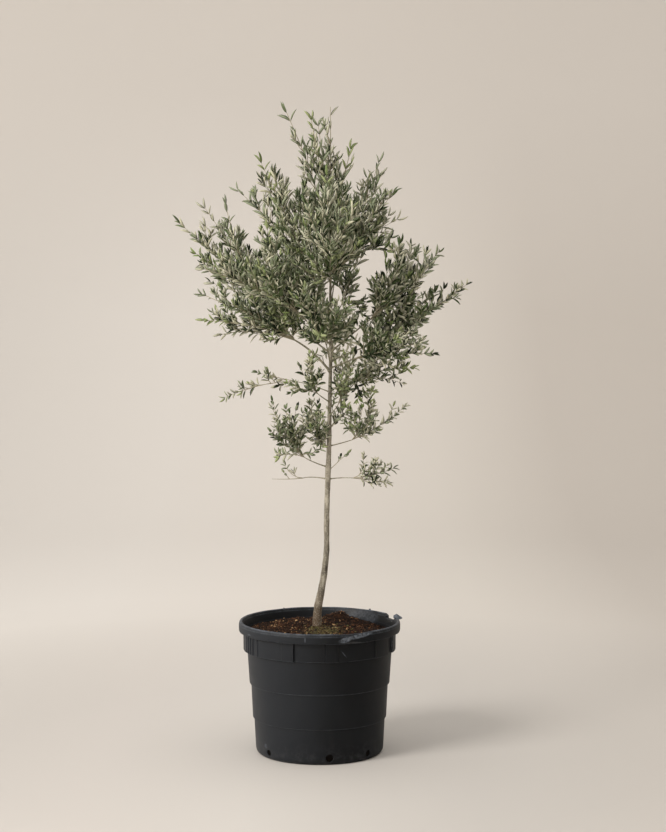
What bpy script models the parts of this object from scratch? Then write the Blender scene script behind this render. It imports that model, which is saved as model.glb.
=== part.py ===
"""Potted olive tree: a young olive grown as a short standard in a black plastic nursery pot.

Everything is in metres, +Z up. The origin is the middle of the pot's flat underside.
The pot is moulded plastic and filled with bark potting mix. The trunk stands on the mix
and carries boughs, and each bough carries one mass of foliage, fused into one solid.
Azimuths are in degrees about +Z, with 0 towards +X and 90 towards +Y.
"""

import math
import random
from collections import namedtuple

import bmesh
import bpy
import numpy as np
from mathutils import Matrix, Vector, noise

# ---- Driving dimensions ----------------------------------------------------------------

POT_HEIGHT = 0.364
RIM_RADIUS = 0.2225
FOOT_RADIUS = 0.1665
POT_SIDES = 40

SOIL_EDGE_HEIGHT = 0.334
SOIL_FOOT_HEIGHT = 0.345

TRUNK_FOOT = Vector((-0.007, 0.015))

CLEARANCE = 0.0003  # between neighbouring solids
UP = Vector((0.0, 0.0, 1.0))

COLOURS = {
    "pot_plastic": ((0.021, 0.021, 0.022), 0.50),
    "bark_mix": ((0.045, 0.022, 0.012), 0.95),
    "olive_bark": ((0.190, 0.160, 0.125), 0.90),
    "olive_leaf": ((0.110, 0.140, 0.070), 0.55),
}


# ---- Scene, collections and materials --------------------------------------------------

for old in list(bpy.data.objects):
    bpy.data.objects.remove(old)

TREE = bpy.data.collections.new("potted_olive_tree")
CUTTERS = bpy.data.collections.new("cutters")
for collection in (TREE, CUTTERS):
    bpy.context.scene.collection.children.link(collection)


def plain_material(name):
    """A Principled material of one colour and roughness."""
    colour, roughness = COLOURS[name]
    made = bpy.data.materials.new(name)
    made.use_nodes = True
    shader = made.node_tree.nodes["Principled BSDF"]
    shader.inputs["Base Color"].default_value = (*colour, 1.0)
    shader.inputs["Roughness"].default_value = roughness
    shader.inputs["Metallic"].default_value = 0.0
    return made


MATERIALS = {name: plain_material(name) for name in COLOURS}


def add_object(name, data, material=None, collection=TREE):
    """One object in a collection, wearing one material."""
    made = bpy.data.objects.new(name, data)
    collection.objects.link(made)
    if material:
        data.materials.append(MATERIALS[material])
    return made


def add_mesh(name, bm, material=None, collection=TREE):
    """One mesh object from a bmesh, which is freed."""
    mesh = bpy.data.meshes.new(name)
    bm.to_mesh(mesh)
    bm.free()
    return add_object(name, mesh, material, collection)


def baked(obj):
    """The object with its modifiers applied, or the mesh of a curve, its caps welded."""
    bpy.context.view_layer.update()
    graph = bpy.context.evaluated_depsgraph_get()
    mesh = bpy.data.meshes.new_from_object(obj.evaluated_get(graph))
    if obj.type == "CURVE":
        bm = bmesh.new()
        bm.from_mesh(mesh)
        bmesh.ops.remove_doubles(bm, verts=bm.verts, dist=0.00001)
        bm.to_mesh(mesh)
        bm.free()
    name, place = obj.name, obj.matrix_world.copy()
    homes = list(obj.users_collection)
    bpy.data.objects.remove(obj)
    made = bpy.data.objects.new(name, mesh)
    made.matrix_world = place
    for home in homes:
        home.objects.link(made)
    return made


def shaded_smooth(obj):
    """Shade a round piece smooth, all but its sharp edges."""
    obj.data.shade_smooth()
    obj.data.set_sharp_from_angle(angle=math.radians(35))
    return obj


def combined(obj, other, operation, solver="EXACT"):
    """A live Boolean of the object with another object or with a whole collection."""
    modifier = obj.modifiers.new(operation.lower(), "BOOLEAN")
    modifier.operation = operation
    modifier.solver = solver
    if isinstance(other, bpy.types.Collection):
        modifier.operand_type = "COLLECTION"
        modifier.collection = other
    else:
        modifier.object = other
    return obj


def turned(name, profile, material=None, collection=TREE):
    """A solid of revolution about Z. The profile is (radius, height) pairs, and runs down
    its outer side."""
    bm = bmesh.new()
    points = [bm.verts.new((radius, 0.0, height)) for radius, height in profile]
    for start, end in zip(points, points[1:]):
        bm.edges.new((start, end))
    made = add_mesh(name, bm, material, collection)
    screw = made.modifiers.new("turn", "SCREW")
    screw.steps = screw.render_steps = POT_SIDES
    screw.use_merge_vertices = True
    screw.merge_threshold = 0.00001
    return made


# ---- Pot: injection-moulded, three tapered tiers, a collar and a hooked lip --------------

WALL = 0.0026
FLOOR = 0.0030
FOOT_ROUND = 0.0075
LIP_BOTTOM = POT_HEIGHT - 0.0280
LIP_SHOULDER = POT_HEIGHT - 0.0070
RIM_TOP_RADIUS = RIM_RADIUS - 0.0025
RIM_MOUTH_RADIUS = RIM_RADIUS - 0.0090
COLLAR_BOTTOM = 0.2850
COLLAR_RADIUS = 0.2105

# Each tier of the wall: height of its foot, radius at its foot, radius at its top.
Tier = namedtuple("Tier", "bottom foot_radius top_radius")
TIERS = (
    Tier(0.0000, 0.1760, 0.1806),
    Tier(0.0980, 0.1842, 0.1888),
    Tier(0.1930, 0.1931, 0.1990),
)

# The smooth inner wall: (height, radius).
INNER_WALL = (
    (0.0000, 0.1730),
    (0.0980, 0.1780),
    (0.1930, 0.1860),
    (0.2850, 0.1960),
    (0.3360, 0.2030),
    (POT_HEIGHT, RIM_MOUTH_RADIUS),
)

RECESS_AZIMUTHS = (-157, -97, -29, 31, 83, 143)
RECESS_SPAN = 24
RECESS_DEPTH = 0.0035

DRAIN_AZIMUTHS = (-142, -82, -40, 20, 80, 140)
DRAIN_RADIUS = 0.0085
DRAIN_HEIGHT = 0.0160

# The broken stretch of the rim: azimuth, and depth below the rim.
BREAK = ((12, 0.000), (13, 0.011), (17, 0.015), (21, 0.0125), (26, 0.014), (28, 0.004), (30, 0.000))


def inner_radius(height):
    """The radius of the pot's inner wall at a height."""
    heights, radii = zip(*INNER_WALL)
    return float(np.interp(height, heights, radii))


def pot_profile():
    """From the middle of the floor, up the inside, over the rim and down the outside."""
    inside = [(inner_radius(height), height) for height in (FLOOR, 0.098, 0.193, 0.285, 0.336)]
    rim = [
        (RIM_MOUTH_RADIUS, POT_HEIGHT),
        (RIM_TOP_RADIUS, POT_HEIGHT),
        (RIM_RADIUS, LIP_SHOULDER),
        (RIM_RADIUS - 0.0005, LIP_BOTTOM),
        (COLLAR_RADIUS, LIP_BOTTOM + 0.0010),
    ]
    outside = [(COLLAR_RADIUS - 0.0008, COLLAR_BOTTOM)]
    tops = [COLLAR_BOTTOM] + [tier.bottom for tier in reversed(TIERS)]
    for tier, top in zip(reversed(TIERS), tops):
        step = 0.0015  # a tier's top tucks in a little way under the one above
        outside += [(tier.top_radius, top - step), (tier.foot_radius, tier.bottom)]
    outside[-1] = (TIERS[0].foot_radius, FOOT_ROUND * 1.6)
    foot = [(FOOT_RADIUS + FOOT_ROUND * 0.65, FOOT_ROUND * 0.35), (FOOT_RADIUS, 0.0)]
    return [(0.0, FLOOR)] + inside + rim + outside + foot + [(0.0, 0.0)]


def recess_cutter(azimuth):
    """A short arc of ring that sets one panel of the collar back."""
    bm = bmesh.new()
    floor, outside = COLLAR_RADIUS - RECESS_DEPTH, COLLAR_RADIUS + 0.0050
    low, high = COLLAR_BOTTOM - 0.0040, LIP_BOTTOM - 0.0005
    corners = [(floor, low), (outside, low), (outside, high), (floor, high)]
    face = bm.faces.new([bm.verts.new((radius, 0.0, height)) for radius, height in corners])
    start = Matrix.Rotation(math.radians(azimuth - RECESS_SPAN / 2), 3, "Z")
    bmesh.ops.rotate(bm, verts=bm.verts, matrix=start)
    bmesh.ops.spin(
        bm,
        geom=[face, *face.verts, *face.edges],
        axis=UP,
        angle=math.radians(RECESS_SPAN),
        steps=4,
        use_duplicate=False,
    )
    bmesh.ops.recalc_face_normals(bm, faces=bm.faces)
    return add_mesh("recess_cutter", bm, collection=CUTTERS)


def drain_cutter(azimuth):
    """A short rod through the foot of the wall."""
    bm = bmesh.new()
    bmesh.ops.create_cone(
        bm, cap_ends=True, segments=10, radius1=DRAIN_RADIUS, radius2=DRAIN_RADIUS, depth=0.030
    )
    lay = Matrix.Rotation(math.radians(90), 4, "Y")
    swing = Matrix.Rotation(math.radians(azimuth), 4, "Z")
    place = swing @ Matrix.Translation((FOOT_RADIUS + 0.005, 0.0, DRAIN_HEIGHT)) @ lay
    bmesh.ops.transform(bm, matrix=place, verts=bm.verts)
    return add_mesh("drain_cutter", bm, collection=CUTTERS)


def break_cutter():
    """The bite that is missing from the rim: a ragged outline swept outwards."""
    bm = bmesh.new()
    inner, outer = RIM_MOUTH_RADIUS - 0.02, RIM_RADIUS + 0.02
    above = POT_HEIGHT + 0.010
    outline = [(azimuth, POT_HEIGHT - depth) for azimuth, depth in BREAK[1:-1]]
    outline += [(BREAK[-1][0], above), (BREAK[0][0], above)]
    places = []
    for azimuth, height in outline:
        turn = math.radians(azimuth)
        places.append(Vector((inner * math.cos(turn), inner * math.sin(turn), height)))
    face = bm.faces.new([bm.verts.new(place) for place in places])
    swept = bmesh.ops.extrude_face_region(bm, geom=[face])["geom"]
    for item in swept:
        if isinstance(item, bmesh.types.BMVert):
            item.co.xy *= outer / inner
    bmesh.ops.recalc_face_normals(bm, faces=bm.faces)
    return add_mesh("break_cutter", bm, collection=CUTTERS)


def torn_flap():
    """The torn end of the lip beside the break, bent up and outwards."""
    bm = bmesh.new()
    bmesh.ops.create_cube(bm, size=1.0)
    bmesh.ops.scale(bm, verts=bm.verts, vec=(0.0200, 0.0240, 0.0028))
    tip = [vert for vert in bm.verts if vert.co.x > 0]
    bmesh.ops.scale(bm, verts=tip, vec=(1.0, 0.35, 0.7))
    lean = Matrix.Rotation(math.radians(-14), 4, "Y")
    swing = Matrix.Rotation(math.radians(9), 4, "Z")
    place = swing @ Matrix.Translation((RIM_RADIUS, 0.0, POT_HEIGHT - 0.0035)) @ lean
    bmesh.ops.transform(bm, matrix=place, verts=bm.verts)
    return add_mesh("torn_flap", bm, collection=CUTTERS)


def make_pot():
    """The pot with its collar panels, drain holes and damaged rim."""
    pot = turned("pot", pot_profile(), "pot_plastic")
    cutters = [recess_cutter(azimuth) for azimuth in RECESS_AZIMUTHS]
    cutters += [drain_cutter(azimuth) for azimuth in DRAIN_AZIMUTHS]
    cutters.append(break_cutter())
    for cutter in cutters:
        combined(pot, cutter, "DIFFERENCE")
    flap = torn_flap()
    combined(pot, flap, "UNION")
    for helper in [*cutters, flap]:
        helper.hide_render = True
        helper.display_type = "WIRE"
    return shaded_smooth(baked(pot))


# ---- Potting mix: bark, heaped a little round the trunk and sunk at the wall -------------

FOOT_PATCH = 0.026  # flat ground that the trunk's foot stands on
SOIL_LUMP = 0.0045
SOIL_RINGS = (0.020, 0.044, 0.078, 0.114, 0.150, 0.186)


def soil_height(x, y):
    """The height of the mix: a low mound about the trunk, with seeded lumps."""
    away = (Vector((x, y)) - TRUNK_FOOT).length
    mound = SOIL_EDGE_HEIGHT + (SOIL_FOOT_HEIGHT - SOIL_EDGE_HEIGHT) * math.exp(-((away / 0.16) ** 4))
    if away < FOOT_PATCH:
        return SOIL_FOOT_HEIGHT
    lumps = noise.noise(Vector((x, y, 0.3)) * 28.0) + 0.5 * noise.noise(Vector((x, y, 0.7)) * 60.0)
    return mound + SOIL_LUMP * lumps * min(1.0, (away - FOOT_PATCH) / 0.03)


def make_soil():
    """A plug that fills the pot, a hair clear of its wall and floor, with a lumpy top."""
    bottom = FLOOR + CLEARANCE
    heights = (SOIL_EDGE_HEIGHT - 0.004, 0.285, 0.193, 0.098, bottom)
    sides = [(inner_radius(height) - CLEARANCE * 1.3, height) for height in heights]
    rings = [(radius, SOIL_EDGE_HEIGHT) for radius in SOIL_RINGS]
    profile = [(0.0, SOIL_EDGE_HEIGHT)] + rings + sides + [(0.0, bottom)]
    soil = turned("potting_mix", profile, "bark_mix")
    soil.modifiers["turn"].steps = soil.modifiers["turn"].render_steps = POT_SIDES // 2
    soil = baked(soil)
    for vert in soil.data.vertices:
        if vert.co.z > SOIL_EDGE_HEIGHT - 0.001:
            near_foot = max(0.0, 1.0 - vert.co.xy.length / 0.10)
            vert.co.xy = vert.co.xy + near_foot * TRUNK_FOOT
            vert.co.z = soil_height(vert.co.x, vert.co.y)
    return shaded_smooth(soil)


# ---- Trunk: a gently bent stem with a root flare, cut flat where it meets the mix --------

# Stations up the trunk: x, y, height, radius in millimetres.
TRUNK = (
    (-0.0066, 0.015, SOIL_FOOT_HEIGHT + CLEARANCE, 15.0),
    (-0.0066, 0.015, 0.351, 13.2),
    (-0.0064, 0.015, 0.362, 12.4),
    (-0.0055, 0.013, 0.393, 11.8),
    (0.0054, 0.010, 0.446, 9.6),
    (0.0137, 0.006, 0.497, 8.5),
    (0.0200, 0.002, 0.560, 7.6),
    (0.0195, 0.000, 0.617, 7.4),
    (0.0203, 0.000, 0.683, 7.5),
    (0.0235, 0.000, 0.770, 7.6),
    (0.0270, 0.000, 0.863, 6.3),
    (0.0278, 0.000, 0.962, 5.2),
    (0.0303, 0.000, 1.060, 4.8),
    (0.0313, 0.000, 1.160, 4.3),
    (0.0297, 0.000, 1.260, 3.4),
    (0.0310, 0.000, 1.345, 2.6),
)


def limb(name, points, radii, sides, material="olive_bark", collection=TREE):
    """A round tapering limb through points, with flat ends."""
    curve = bpy.data.curves.new(name, "CURVE")
    curve.dimensions = "3D"
    curve.bevel_depth = 0.001
    curve.bevel_resolution = sides // 2 - 2
    curve.use_fill_caps = True
    spline = curve.splines.new("POLY")
    spline.points.add(len(points) - 1)
    for knot, place, radius in zip(spline.points, points, radii):
        knot.co = (*place, 1.0)
        knot.radius = radius
    return shaded_smooth(baked(add_object(name, curve, material, collection)))


def trunk_at(height):
    """The middle of the trunk and its radius in millimetres at a height."""
    xs, ys, heights, radii = zip(*TRUNK)
    point = [float(np.interp(height, heights, values)) for values in (xs, ys)]
    return Vector((*point, height)), float(np.interp(height, heights, radii))


def make_trunk(name="trunk", extra=0.0, collection=TREE):
    """The trunk, or a copy of it grown by some millimetres all round."""
    points = [Vector(station[:3]) for station in TRUNK]
    if extra:
        points[0] = points[0] - UP * 0.010
        points[-1] = points[-1] + UP * CLEARANCE
    radii = [station[3] + extra for station in TRUNK]
    return limb(name, points, radii, 10, collection=collection)


# ---- Boughs and the masses of foliage that they carry -------------------------------------

# Each row is a mass with its bough: the height where the bough leaves the trunk, its radius
# there in millimetres, its elbow, its end, how far out each leading shoot of the mass carries
# its last leaf, and how far the side shoots reach. A mass with no elbow springs from the
# trunk itself.
Mass = namedtuple("Mass", "name fork girth elbow end tips reach")

MASSES = (
    Mass("top", 1.345, 2.6, None, None,
         ((0.030, 0.000, 1.795), (-0.095, -0.030, 1.775), (0.090, 0.030, 1.680),
          (-0.005, 0.050, 1.745), (-0.025, -0.040, 1.755)), 0.075),
    Mass("top_right", 1.270, 2.2, (0.047, 0.018, 1.308), (0.065, 0.032, 1.345),
         ((0.170, 0.090, 1.645), (0.215, -0.020, 1.555), (0.230, 0.050, 1.480),
          (0.200, -0.060, 1.385), (0.190, 0.000, 1.540)), 0.080),
    Mass("upper_left", 1.197, 2.4, (0.010, -0.017, 1.248), (-0.010, -0.030, 1.294),
         ((-0.165, -0.090, 1.635), (-0.235, 0.030, 1.560),
          (-0.045, -0.060, 1.600), (-0.130, -0.010, 1.595)), 0.080),
    Mass("left_high", 1.123, 2.6, (-0.011, -0.055, 1.169), (-0.056, -0.095, 1.212),
         ((-0.320, -0.200, 1.340), (-0.165, -0.240, 1.350), (-0.145, -0.140, 1.455)), 0.080),
    Mass("left_outer", 1.100, 2.8, (-0.008, 0.030, 1.126), (-0.055, 0.055, 1.169),
         ((-0.405, 0.110, 1.470), (-0.325, 0.200, 1.300), (-0.355, 0.030, 1.385),
          (-0.330, 0.080, 1.515), (-0.335, 0.080, 1.340)), 0.075),
    Mass("left_low", 1.049, 3.6, (-0.013, 0.000, 1.106), (-0.068, -0.004, 1.137),
         ((-0.340, 0.040, 1.270), (-0.330, -0.030, 1.195), (-0.250, -0.100, 1.245), (-0.295, 0.050, 1.150),
          (-0.265, -0.030, 1.525), (-0.095, -0.090, 1.200), (-0.025, -0.020, 1.175)), 0.070),
    Mass("centre_left", 1.169, 2.0, (-0.001, -0.014, 1.196), (-0.026, -0.028, 1.219),
         ((-0.115, -0.070, 1.345), (-0.095, -0.110, 1.205), (-0.005, -0.100, 1.310)), 0.075),
    Mass("front_high", 1.240, 2.2, (0.031, -0.054, 1.260), (0.030, -0.097, 1.286),
         ((-0.040, -0.230, 1.520), (0.090, -0.210, 1.510),
          (0.030, -0.290, 1.415), (0.020, -0.130, 1.600)), 0.080),
    Mass("front_low", 1.068, 2.4, (0.025, -0.036, 1.098), (0.020, -0.072, 1.123),
         ((-0.060, -0.270, 1.275), (0.080, -0.250, 1.230), (0.000, -0.240, 1.160)), 0.080),
    Mass("back_high", 1.222, 2.2, (0.036, 0.048, 1.262), (0.041, 0.092, 1.296),
         ((-0.040, 0.240, 1.570), (0.120, 0.220, 1.565),
          (0.045, 0.290, 1.485), (0.055, 0.130, 1.625)), 0.080),
    Mass("back_left", 1.148, 2.6, (0.007, 0.055, 1.179), (-0.019, 0.104, 1.213),
         ((-0.185, 0.270, 1.425), (-0.250, 0.290, 1.310), (-0.130, 0.260, 1.240)), 0.095),
    Mass("back_low", 1.060, 2.4, (0.034, 0.048, 1.107), (0.033, 0.089, 1.124),
         ((-0.035, 0.280, 1.240), (0.090, 0.260, 1.110), (0.030, 0.300, 1.155)), 0.085),
    Mass("right_up", 1.104, 2.8, (0.084, -0.022, 1.150), (0.139, -0.039, 1.195),
         ((0.225, -0.110, 1.420), (0.340, 0.020, 1.390),
          (0.265, 0.090, 1.410), (0.320, -0.020, 1.350)), 0.070),
    Mass("right_far", 1.077, 2.6, (0.067, 0.017, 1.097), (0.111, 0.030, 1.111),
         ((0.430, 0.030, 1.305), (0.305, 0.190, 1.190),
          (0.325, -0.080, 1.235), (0.270, -0.050, 1.295)), 0.070),
    Mass("right_low", 1.060, 2.4, (0.059, -0.039, 1.074), (0.090, -0.071, 1.087),
         ((0.320, -0.120, 1.105), (0.215, -0.220, 1.150), (0.300, -0.020, 1.135)), 0.075),
    Mass("right_inner", 0.994, 2.0, (0.048, 0.021, 1.008), (0.067, 0.037, 1.020),
         ((0.275, 0.080, 1.060), (0.240, -0.020, 1.020), (0.110, -0.040, 0.965)), 0.065),
    Mass("right_mid", 0.846, 1.8, (0.062, 0.000, 0.854), (0.089, 0.000, 0.863),
         ((0.245, 0.010, 0.960), (0.145, 0.050, 0.920), (0.070, -0.050, 0.975),
          (0.070, 0.030, 0.905), (0.145, 0.010, 1.000)), 0.055),
    Mass("low_right", 0.755, 1.6, (0.062, -0.005, 0.761), (0.092, -0.010, 0.759),
         ((0.215, -0.020, 0.790), (0.125, -0.010, 0.830), (0.205, 0.020, 0.740)), 0.045),
    Mass("side_shoot", 0.777, 1.3, None, None,
         ((0.085, -0.010, 0.835),), 0.020),
    Mass("low_left", 0.755, 1.6, (-0.021, 0.000, 0.764), (-0.045, 0.000, 0.758),
         ((-0.145, 0.000, 0.755), (-0.105, -0.010, 0.800)), 0.020),
    Mass("lower_left", 0.788, 1.8, (-0.015, -0.010, 0.800), (-0.042, -0.015, 0.817),
         ((-0.135, -0.030, 0.985), (-0.140, -0.070, 0.900), (-0.125, 0.030, 0.815), (-0.065, 0.020, 0.965),
          (-0.015, -0.030, 0.830), (-0.055, 0.040, 0.885), (-0.020, 0.010, 0.940), (-0.095, -0.050, 0.965)), 0.060),
    Mass("lower_back", 0.863, 1.6, (0.008, 0.024, 0.869), (-0.006, 0.042, 0.884),
         ((-0.025, 0.100, 0.970), (-0.055, 0.080, 0.895), (-0.010, 0.070, 0.900)), 0.060),
    Mass("arch", 0.994, 1.6, (-0.026, 0.010, 1.016), (-0.059, 0.015, 1.021),
         ((-0.275, 0.030, 0.975), (-0.185, 0.010, 1.050), (-0.225, -0.020, 0.995)), 0.028),
    Mass("inner_left", 0.967, 1.8, (0.009, -0.024, 0.980), (-0.005, -0.042, 0.993),
         ((-0.060, -0.090, 1.080), (-0.090, -0.080, 1.000),
          (-0.015, -0.050, 1.115), (-0.005, -0.060, 1.010)), 0.055),
    Mass("inner_right", 1.185, 2.0, (0.047, 0.012, 1.206), (0.060, 0.016, 1.232),
         ((0.110, 0.050, 1.390), (0.090, -0.050, 1.325), (0.130, -0.030, 1.215),
          (0.105, 0.050, 1.185), (0.050, -0.050, 1.315)), 0.055),
    Mass("lower_right", 0.930, 1.6, (0.042, -0.004, 0.944), (0.052, -0.006, 0.962),
         ((0.070, -0.060, 1.025), (0.115, 0.060, 1.035),
          (0.050, 0.050, 1.100), (0.090, -0.040, 1.140)), 0.055),
    Mass("twigs_left", 0.838, 1.3, None, None,
         ((-0.035, 0.000, 0.870), (-0.025, -0.030, 0.910),
          (-0.010, 0.030, 0.975), (0.000, -0.050, 0.945)), 0.055),
    Mass("twigs_right", 0.893, 1.3, None, None,
         ((0.080, -0.020, 0.950), (0.075, 0.020, 1.000)), 0.050),
)

BOUGH_TAPER = 0.62
STEM_LENGTH = 0.006
SHOOT_SPACING = 0.215
LEAF_SPACING = 0.115
LEAF_HEIGHTS = (0.75, 1.00, 1.25, 1.80)
LEAF_LENGTHS = (0.040, 0.052, 0.072, 0.074)  # at those heights
LEAF_BREADTH = 0.24  # of its length
LEAF_THICKNESS = 0.0026
LEAF_SINK = 0.0008  # how far a leaf reaches past the middle of its twig
TWIG_RADIUS = 0.0015
SPACE_MARGIN = 0.0015
LIMB_MARGIN = 0.0012
GOLDEN_ANGLE = math.radians(137.5)


def bend(start, pull, end, pieces):
    """Points along a curve from start to end that sets off towards the pull."""
    places = []
    for index in range(pieces + 1):
        part = index / pieces
        places.append(start * (1 - part) ** 2 + pull * 2 * part * (1 - part) + end * part**2)
    return places


def bough_path(mass):
    """The bough of a mass, from the trunk's middle to its end."""
    start, _ = trunk_at(mass.fork)
    return bend(start, Vector(mass.elbow), Vector(mass.end), 4)


def root_of(mass):
    """Where a mass starts, and which way its stem sets off."""
    if mass.elbow:
        path = bough_path(mass)
        heading = (path[-1] - path[-2]).normalized()
        return path[-1] + heading * CLEARANCE, heading
    trunk, radius = trunk_at(mass.fork)
    if mass.fork >= TRUNK[-1][2]:
        return trunk + UP * CLEARANCE, UP
    heading = (Vector(mass.tips[0]) - trunk).normalized()
    side = Vector((heading.x, heading.y, 0.0)).normalized()
    return trunk + side * (radius * 0.001 + CLEARANCE + TWIG_RADIUS * heading.z), heading


def leaf_length(height):
    """How long a leaf is at a height: the low shoots carry smaller ones."""
    return float(np.interp(height, LEAF_HEIGHTS, LEAF_LENGTHS))


def leaders(mass, pieces):
    """The leading shoots of a mass, which part from one short stem and bend to its tips."""
    root, heading = root_of(mass)
    fork = root + heading * STEM_LENGTH
    paths = []
    for tip in mass.tips:
        reach = Vector(tip) - fork
        reach -= reach.normalized() * leaf_length(tip[2]) * 0.85
        pull = fork + (heading * 0.55 + reach.normalized() * 0.45).normalized() * reach.length * 0.5
        paths.append([root] + bend(fork, pull, fork + reach, pieces))
    return paths


def side_shoots(mass, path, dice):
    """Side shoots along a leading shoot: (start, end) of each, turning up towards the light."""
    length = sum((b - a).length for a, b in zip(path, path[1:]))
    count = int(length / SHOOT_SPACING)
    swing = dice.uniform(0.0, math.tau)
    for index in range(count):
        part = 0.05 + 0.75 * (index + 0.5) / count
        place, tangent = along(path, part)
        outwards = tangent.orthogonal().normalized()
        outwards.rotate(Matrix.Rotation(swing + index * GOLDEN_ANGLE, 3, tangent))
        heading = (tangent * 0.85 + outwards * 0.55 + UP * 0.45).normalized()
        reach = mass.reach * (1.35 - 0.85 * part) * dice.uniform(0.75, 1.1)
        yield place, place + heading * reach


def along(path, part):
    """The point and direction at a part of a path's length."""
    lengths = [(b - a).length for a, b in zip(path, path[1:])]
    left = part * sum(lengths)
    for start, end, length in zip(path, path[1:], lengths):
        if left <= length:
            return start.lerp(end, left / length), (end - start).normalized()
        left -= length
    return path[-1], (path[-1] - path[-2]).normalized()


def leaves_on(path, bare, spacing, dice):
    """Leaves along a shoot in crossed pairs, and one at its tip: (root, heading, face)."""
    length = sum((b - a).length for a, b in zip(path, path[1:]))
    pairs = max(1, round(length * (1 - bare) / spacing))
    turn = dice.uniform(0.0, math.tau)
    for index in range(pairs):
        place, tangent = along(path, bare + (0.93 - bare) * (index + 0.5) / pairs)
        for half in (0.0, math.pi):
            outwards = tangent.orthogonal().normalized()
            outwards.rotate(Matrix.Rotation(turn + index * math.pi / 2 + half, 3, tangent))
            heading = (tangent * 0.85 + outwards * 0.60 + UP * 0.15).normalized()
            yield place, heading, tangent
    place, tangent = along(path, 1.0)
    yield place - tangent * 0.005, tangent, tangent.orthogonal().normalized()


def frame(place, heading, face):
    """A placing with Z along the heading and Y towards the face."""
    face = (face - heading * face.dot(heading)).normalized()
    turned_to = Matrix((face.cross(heading), face, heading)).transposed()
    return Matrix.Translation(place) @ turned_to.to_4x4()


def twig(path, radius, end_radius):
    """A three-sided tapering twig: a rod cut into rings, each moved to its place on a path."""
    bm = bmesh.new()
    bmesh.ops.create_cone(bm, cap_ends=True, segments=3, radius1=1.0, radius2=1.0, depth=1.0)
    last = len(path) - 1
    upright = [edge for edge in bm.edges if abs(edge.verts[0].co.z - edge.verts[1].co.z) > 0.5]
    if last > 1:
        bmesh.ops.subdivide_edges(bm, edges=upright, cuts=last - 1)
    rings = []
    across = (path[1] - path[0]).orthogonal()
    for index, place in enumerate(path):
        heading = (path[min(index + 1, last)] - path[max(index - 1, 0)]).normalized()
        across = (across - heading * across.dot(heading)).normalized()
        thick = radius + (end_radius - radius) * index / last
        rings.append((place, across * thick, heading.cross(across) * thick))
    for vert in bm.verts:
        place, right, back = rings[round((vert.co.z + 0.5) * last)]
        vert.co = place + right * vert.co.x + back * vert.co.y
    return bm


def leaf(root, heading, face, length):
    """One leaf of eight faces, widest towards its root."""
    bm = bmesh.new()
    bmesh.ops.create_uvsphere(bm, u_segments=4, v_segments=2, radius=0.5)
    for vert in bm.verts:
        if abs(vert.co.z) < 0.1:
            vert.co.z -= 0.12
    scale = Matrix.Diagonal((length * LEAF_BREADTH, LEAF_THICKNESS, length, 1.0))
    place = frame(root + heading * (length / 2 - LEAF_SINK), heading, face)
    bmesh.ops.transform(bm, matrix=place @ scale, verts=bm.verts)
    return bm


class Spaces:
    """Which space each place in the crown belongs to, and where the limbs are."""

    def __init__(self):
        self.axes = {}
        self.starts, self.ends, self.radii = [], [], []

    def add_axis(self, name, path):
        """Give a mass the space round one of its leading shoots."""
        places = [along(path, index / 24)[0] for index in range(25)]
        self.axes.setdefault(name, []).extend(places)

    def add_limb(self, points, radii):
        """Note a limb that foliage has to keep clear of."""
        for start, end, radius in zip(points, points[1:], radii):
            self.starts.append(start)
            self.ends.append(end)
            self.radii.append(radius * 0.001)

    def settle(self):
        """Make the arrays that the tests use."""
        self.names = list(self.axes)
        self.places = np.array([place for name in self.names for place in self.axes[name]])
        self.owner = np.array([i for i, name in enumerate(self.names) for _ in self.axes[name]])
        self.starts, self.radii = np.array(self.starts), np.array(self.radii)
        self.runs = np.array(self.ends) - self.starts

    def fits(self, name, places):
        """Whether places lie in a mass's own space and clear of every limb."""
        places = np.array(places)
        away = np.linalg.norm(places[:, None] - self.places[None], axis=2)
        mine = self.owner == self.names.index(name)
        if (away[:, mine].min(1) + SPACE_MARGIN > away[:, ~mine].min(1)).any():
            return False
        gaps = places[:, None] - self.starts[None]
        part = (gaps * self.runs).sum(2) / (self.runs**2).sum(1)
        gaps -= np.clip(part, 0.0, 1.0)[..., None] * self.runs
        return bool((np.linalg.norm(gaps, axis=2) > self.radii + LIMB_MARGIN).all())


def make_bough(mass, cutter):
    """A tapering bough, its root cut to the trunk's side."""
    path = bough_path(mass)
    radii = [mass.girth * (1 - (1 - BOUGH_TAPER) * index / 4) for index in range(5)]
    bough = limb("bough_" + mass.name, path, radii, 6)
    return shaded_smooth(baked(combined(bough, cutter, "DIFFERENCE")))


def pieces_of(mass, spaces, dice):
    """The twigs and leaves of a mass, leaving out any that would leave its space."""
    radius = 0.001 * mass.girth * (BOUGH_TAPER if mass.elbow else 0.9)
    shoots, broads = [], []
    for path in leaders(mass, 2):
        yield twig(path, max(radius, TWIG_RADIUS), TWIG_RADIUS * 0.75)
        shoots.append((path, 0.38))
        for start, end in side_shoots(mass, path, dice):
            if spaces.fits(mass.name, [start.lerp(end, 0.5), end]):
                yield twig([start, end], TWIG_RADIUS, TWIG_RADIUS * 0.75)
                shoots.append(([start, end], 0.40))
    for path, bare in shoots:
        for root, heading, face in leaves_on(path, bare, LEAF_SPACING, dice):
            length = leaf_length(root.z) * dice.uniform(0.85, 1.05)
            side = heading.cross(face).normalized() * length * LEAF_BREADTH / 2
            broad = root + heading * length * 0.38
            samples = [root + heading * 0.006, broad - side, broad + side]
            samples += [root + heading * length * part for part in (0.38, 0.7, 0.98)]
            apart = all((broad - other).length > length * LEAF_BREADTH for other in broads)
            if apart and spaces.fits(mass.name, samples):
                broads.append(broad)
                yield leaf(root, heading, face, length)


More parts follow.
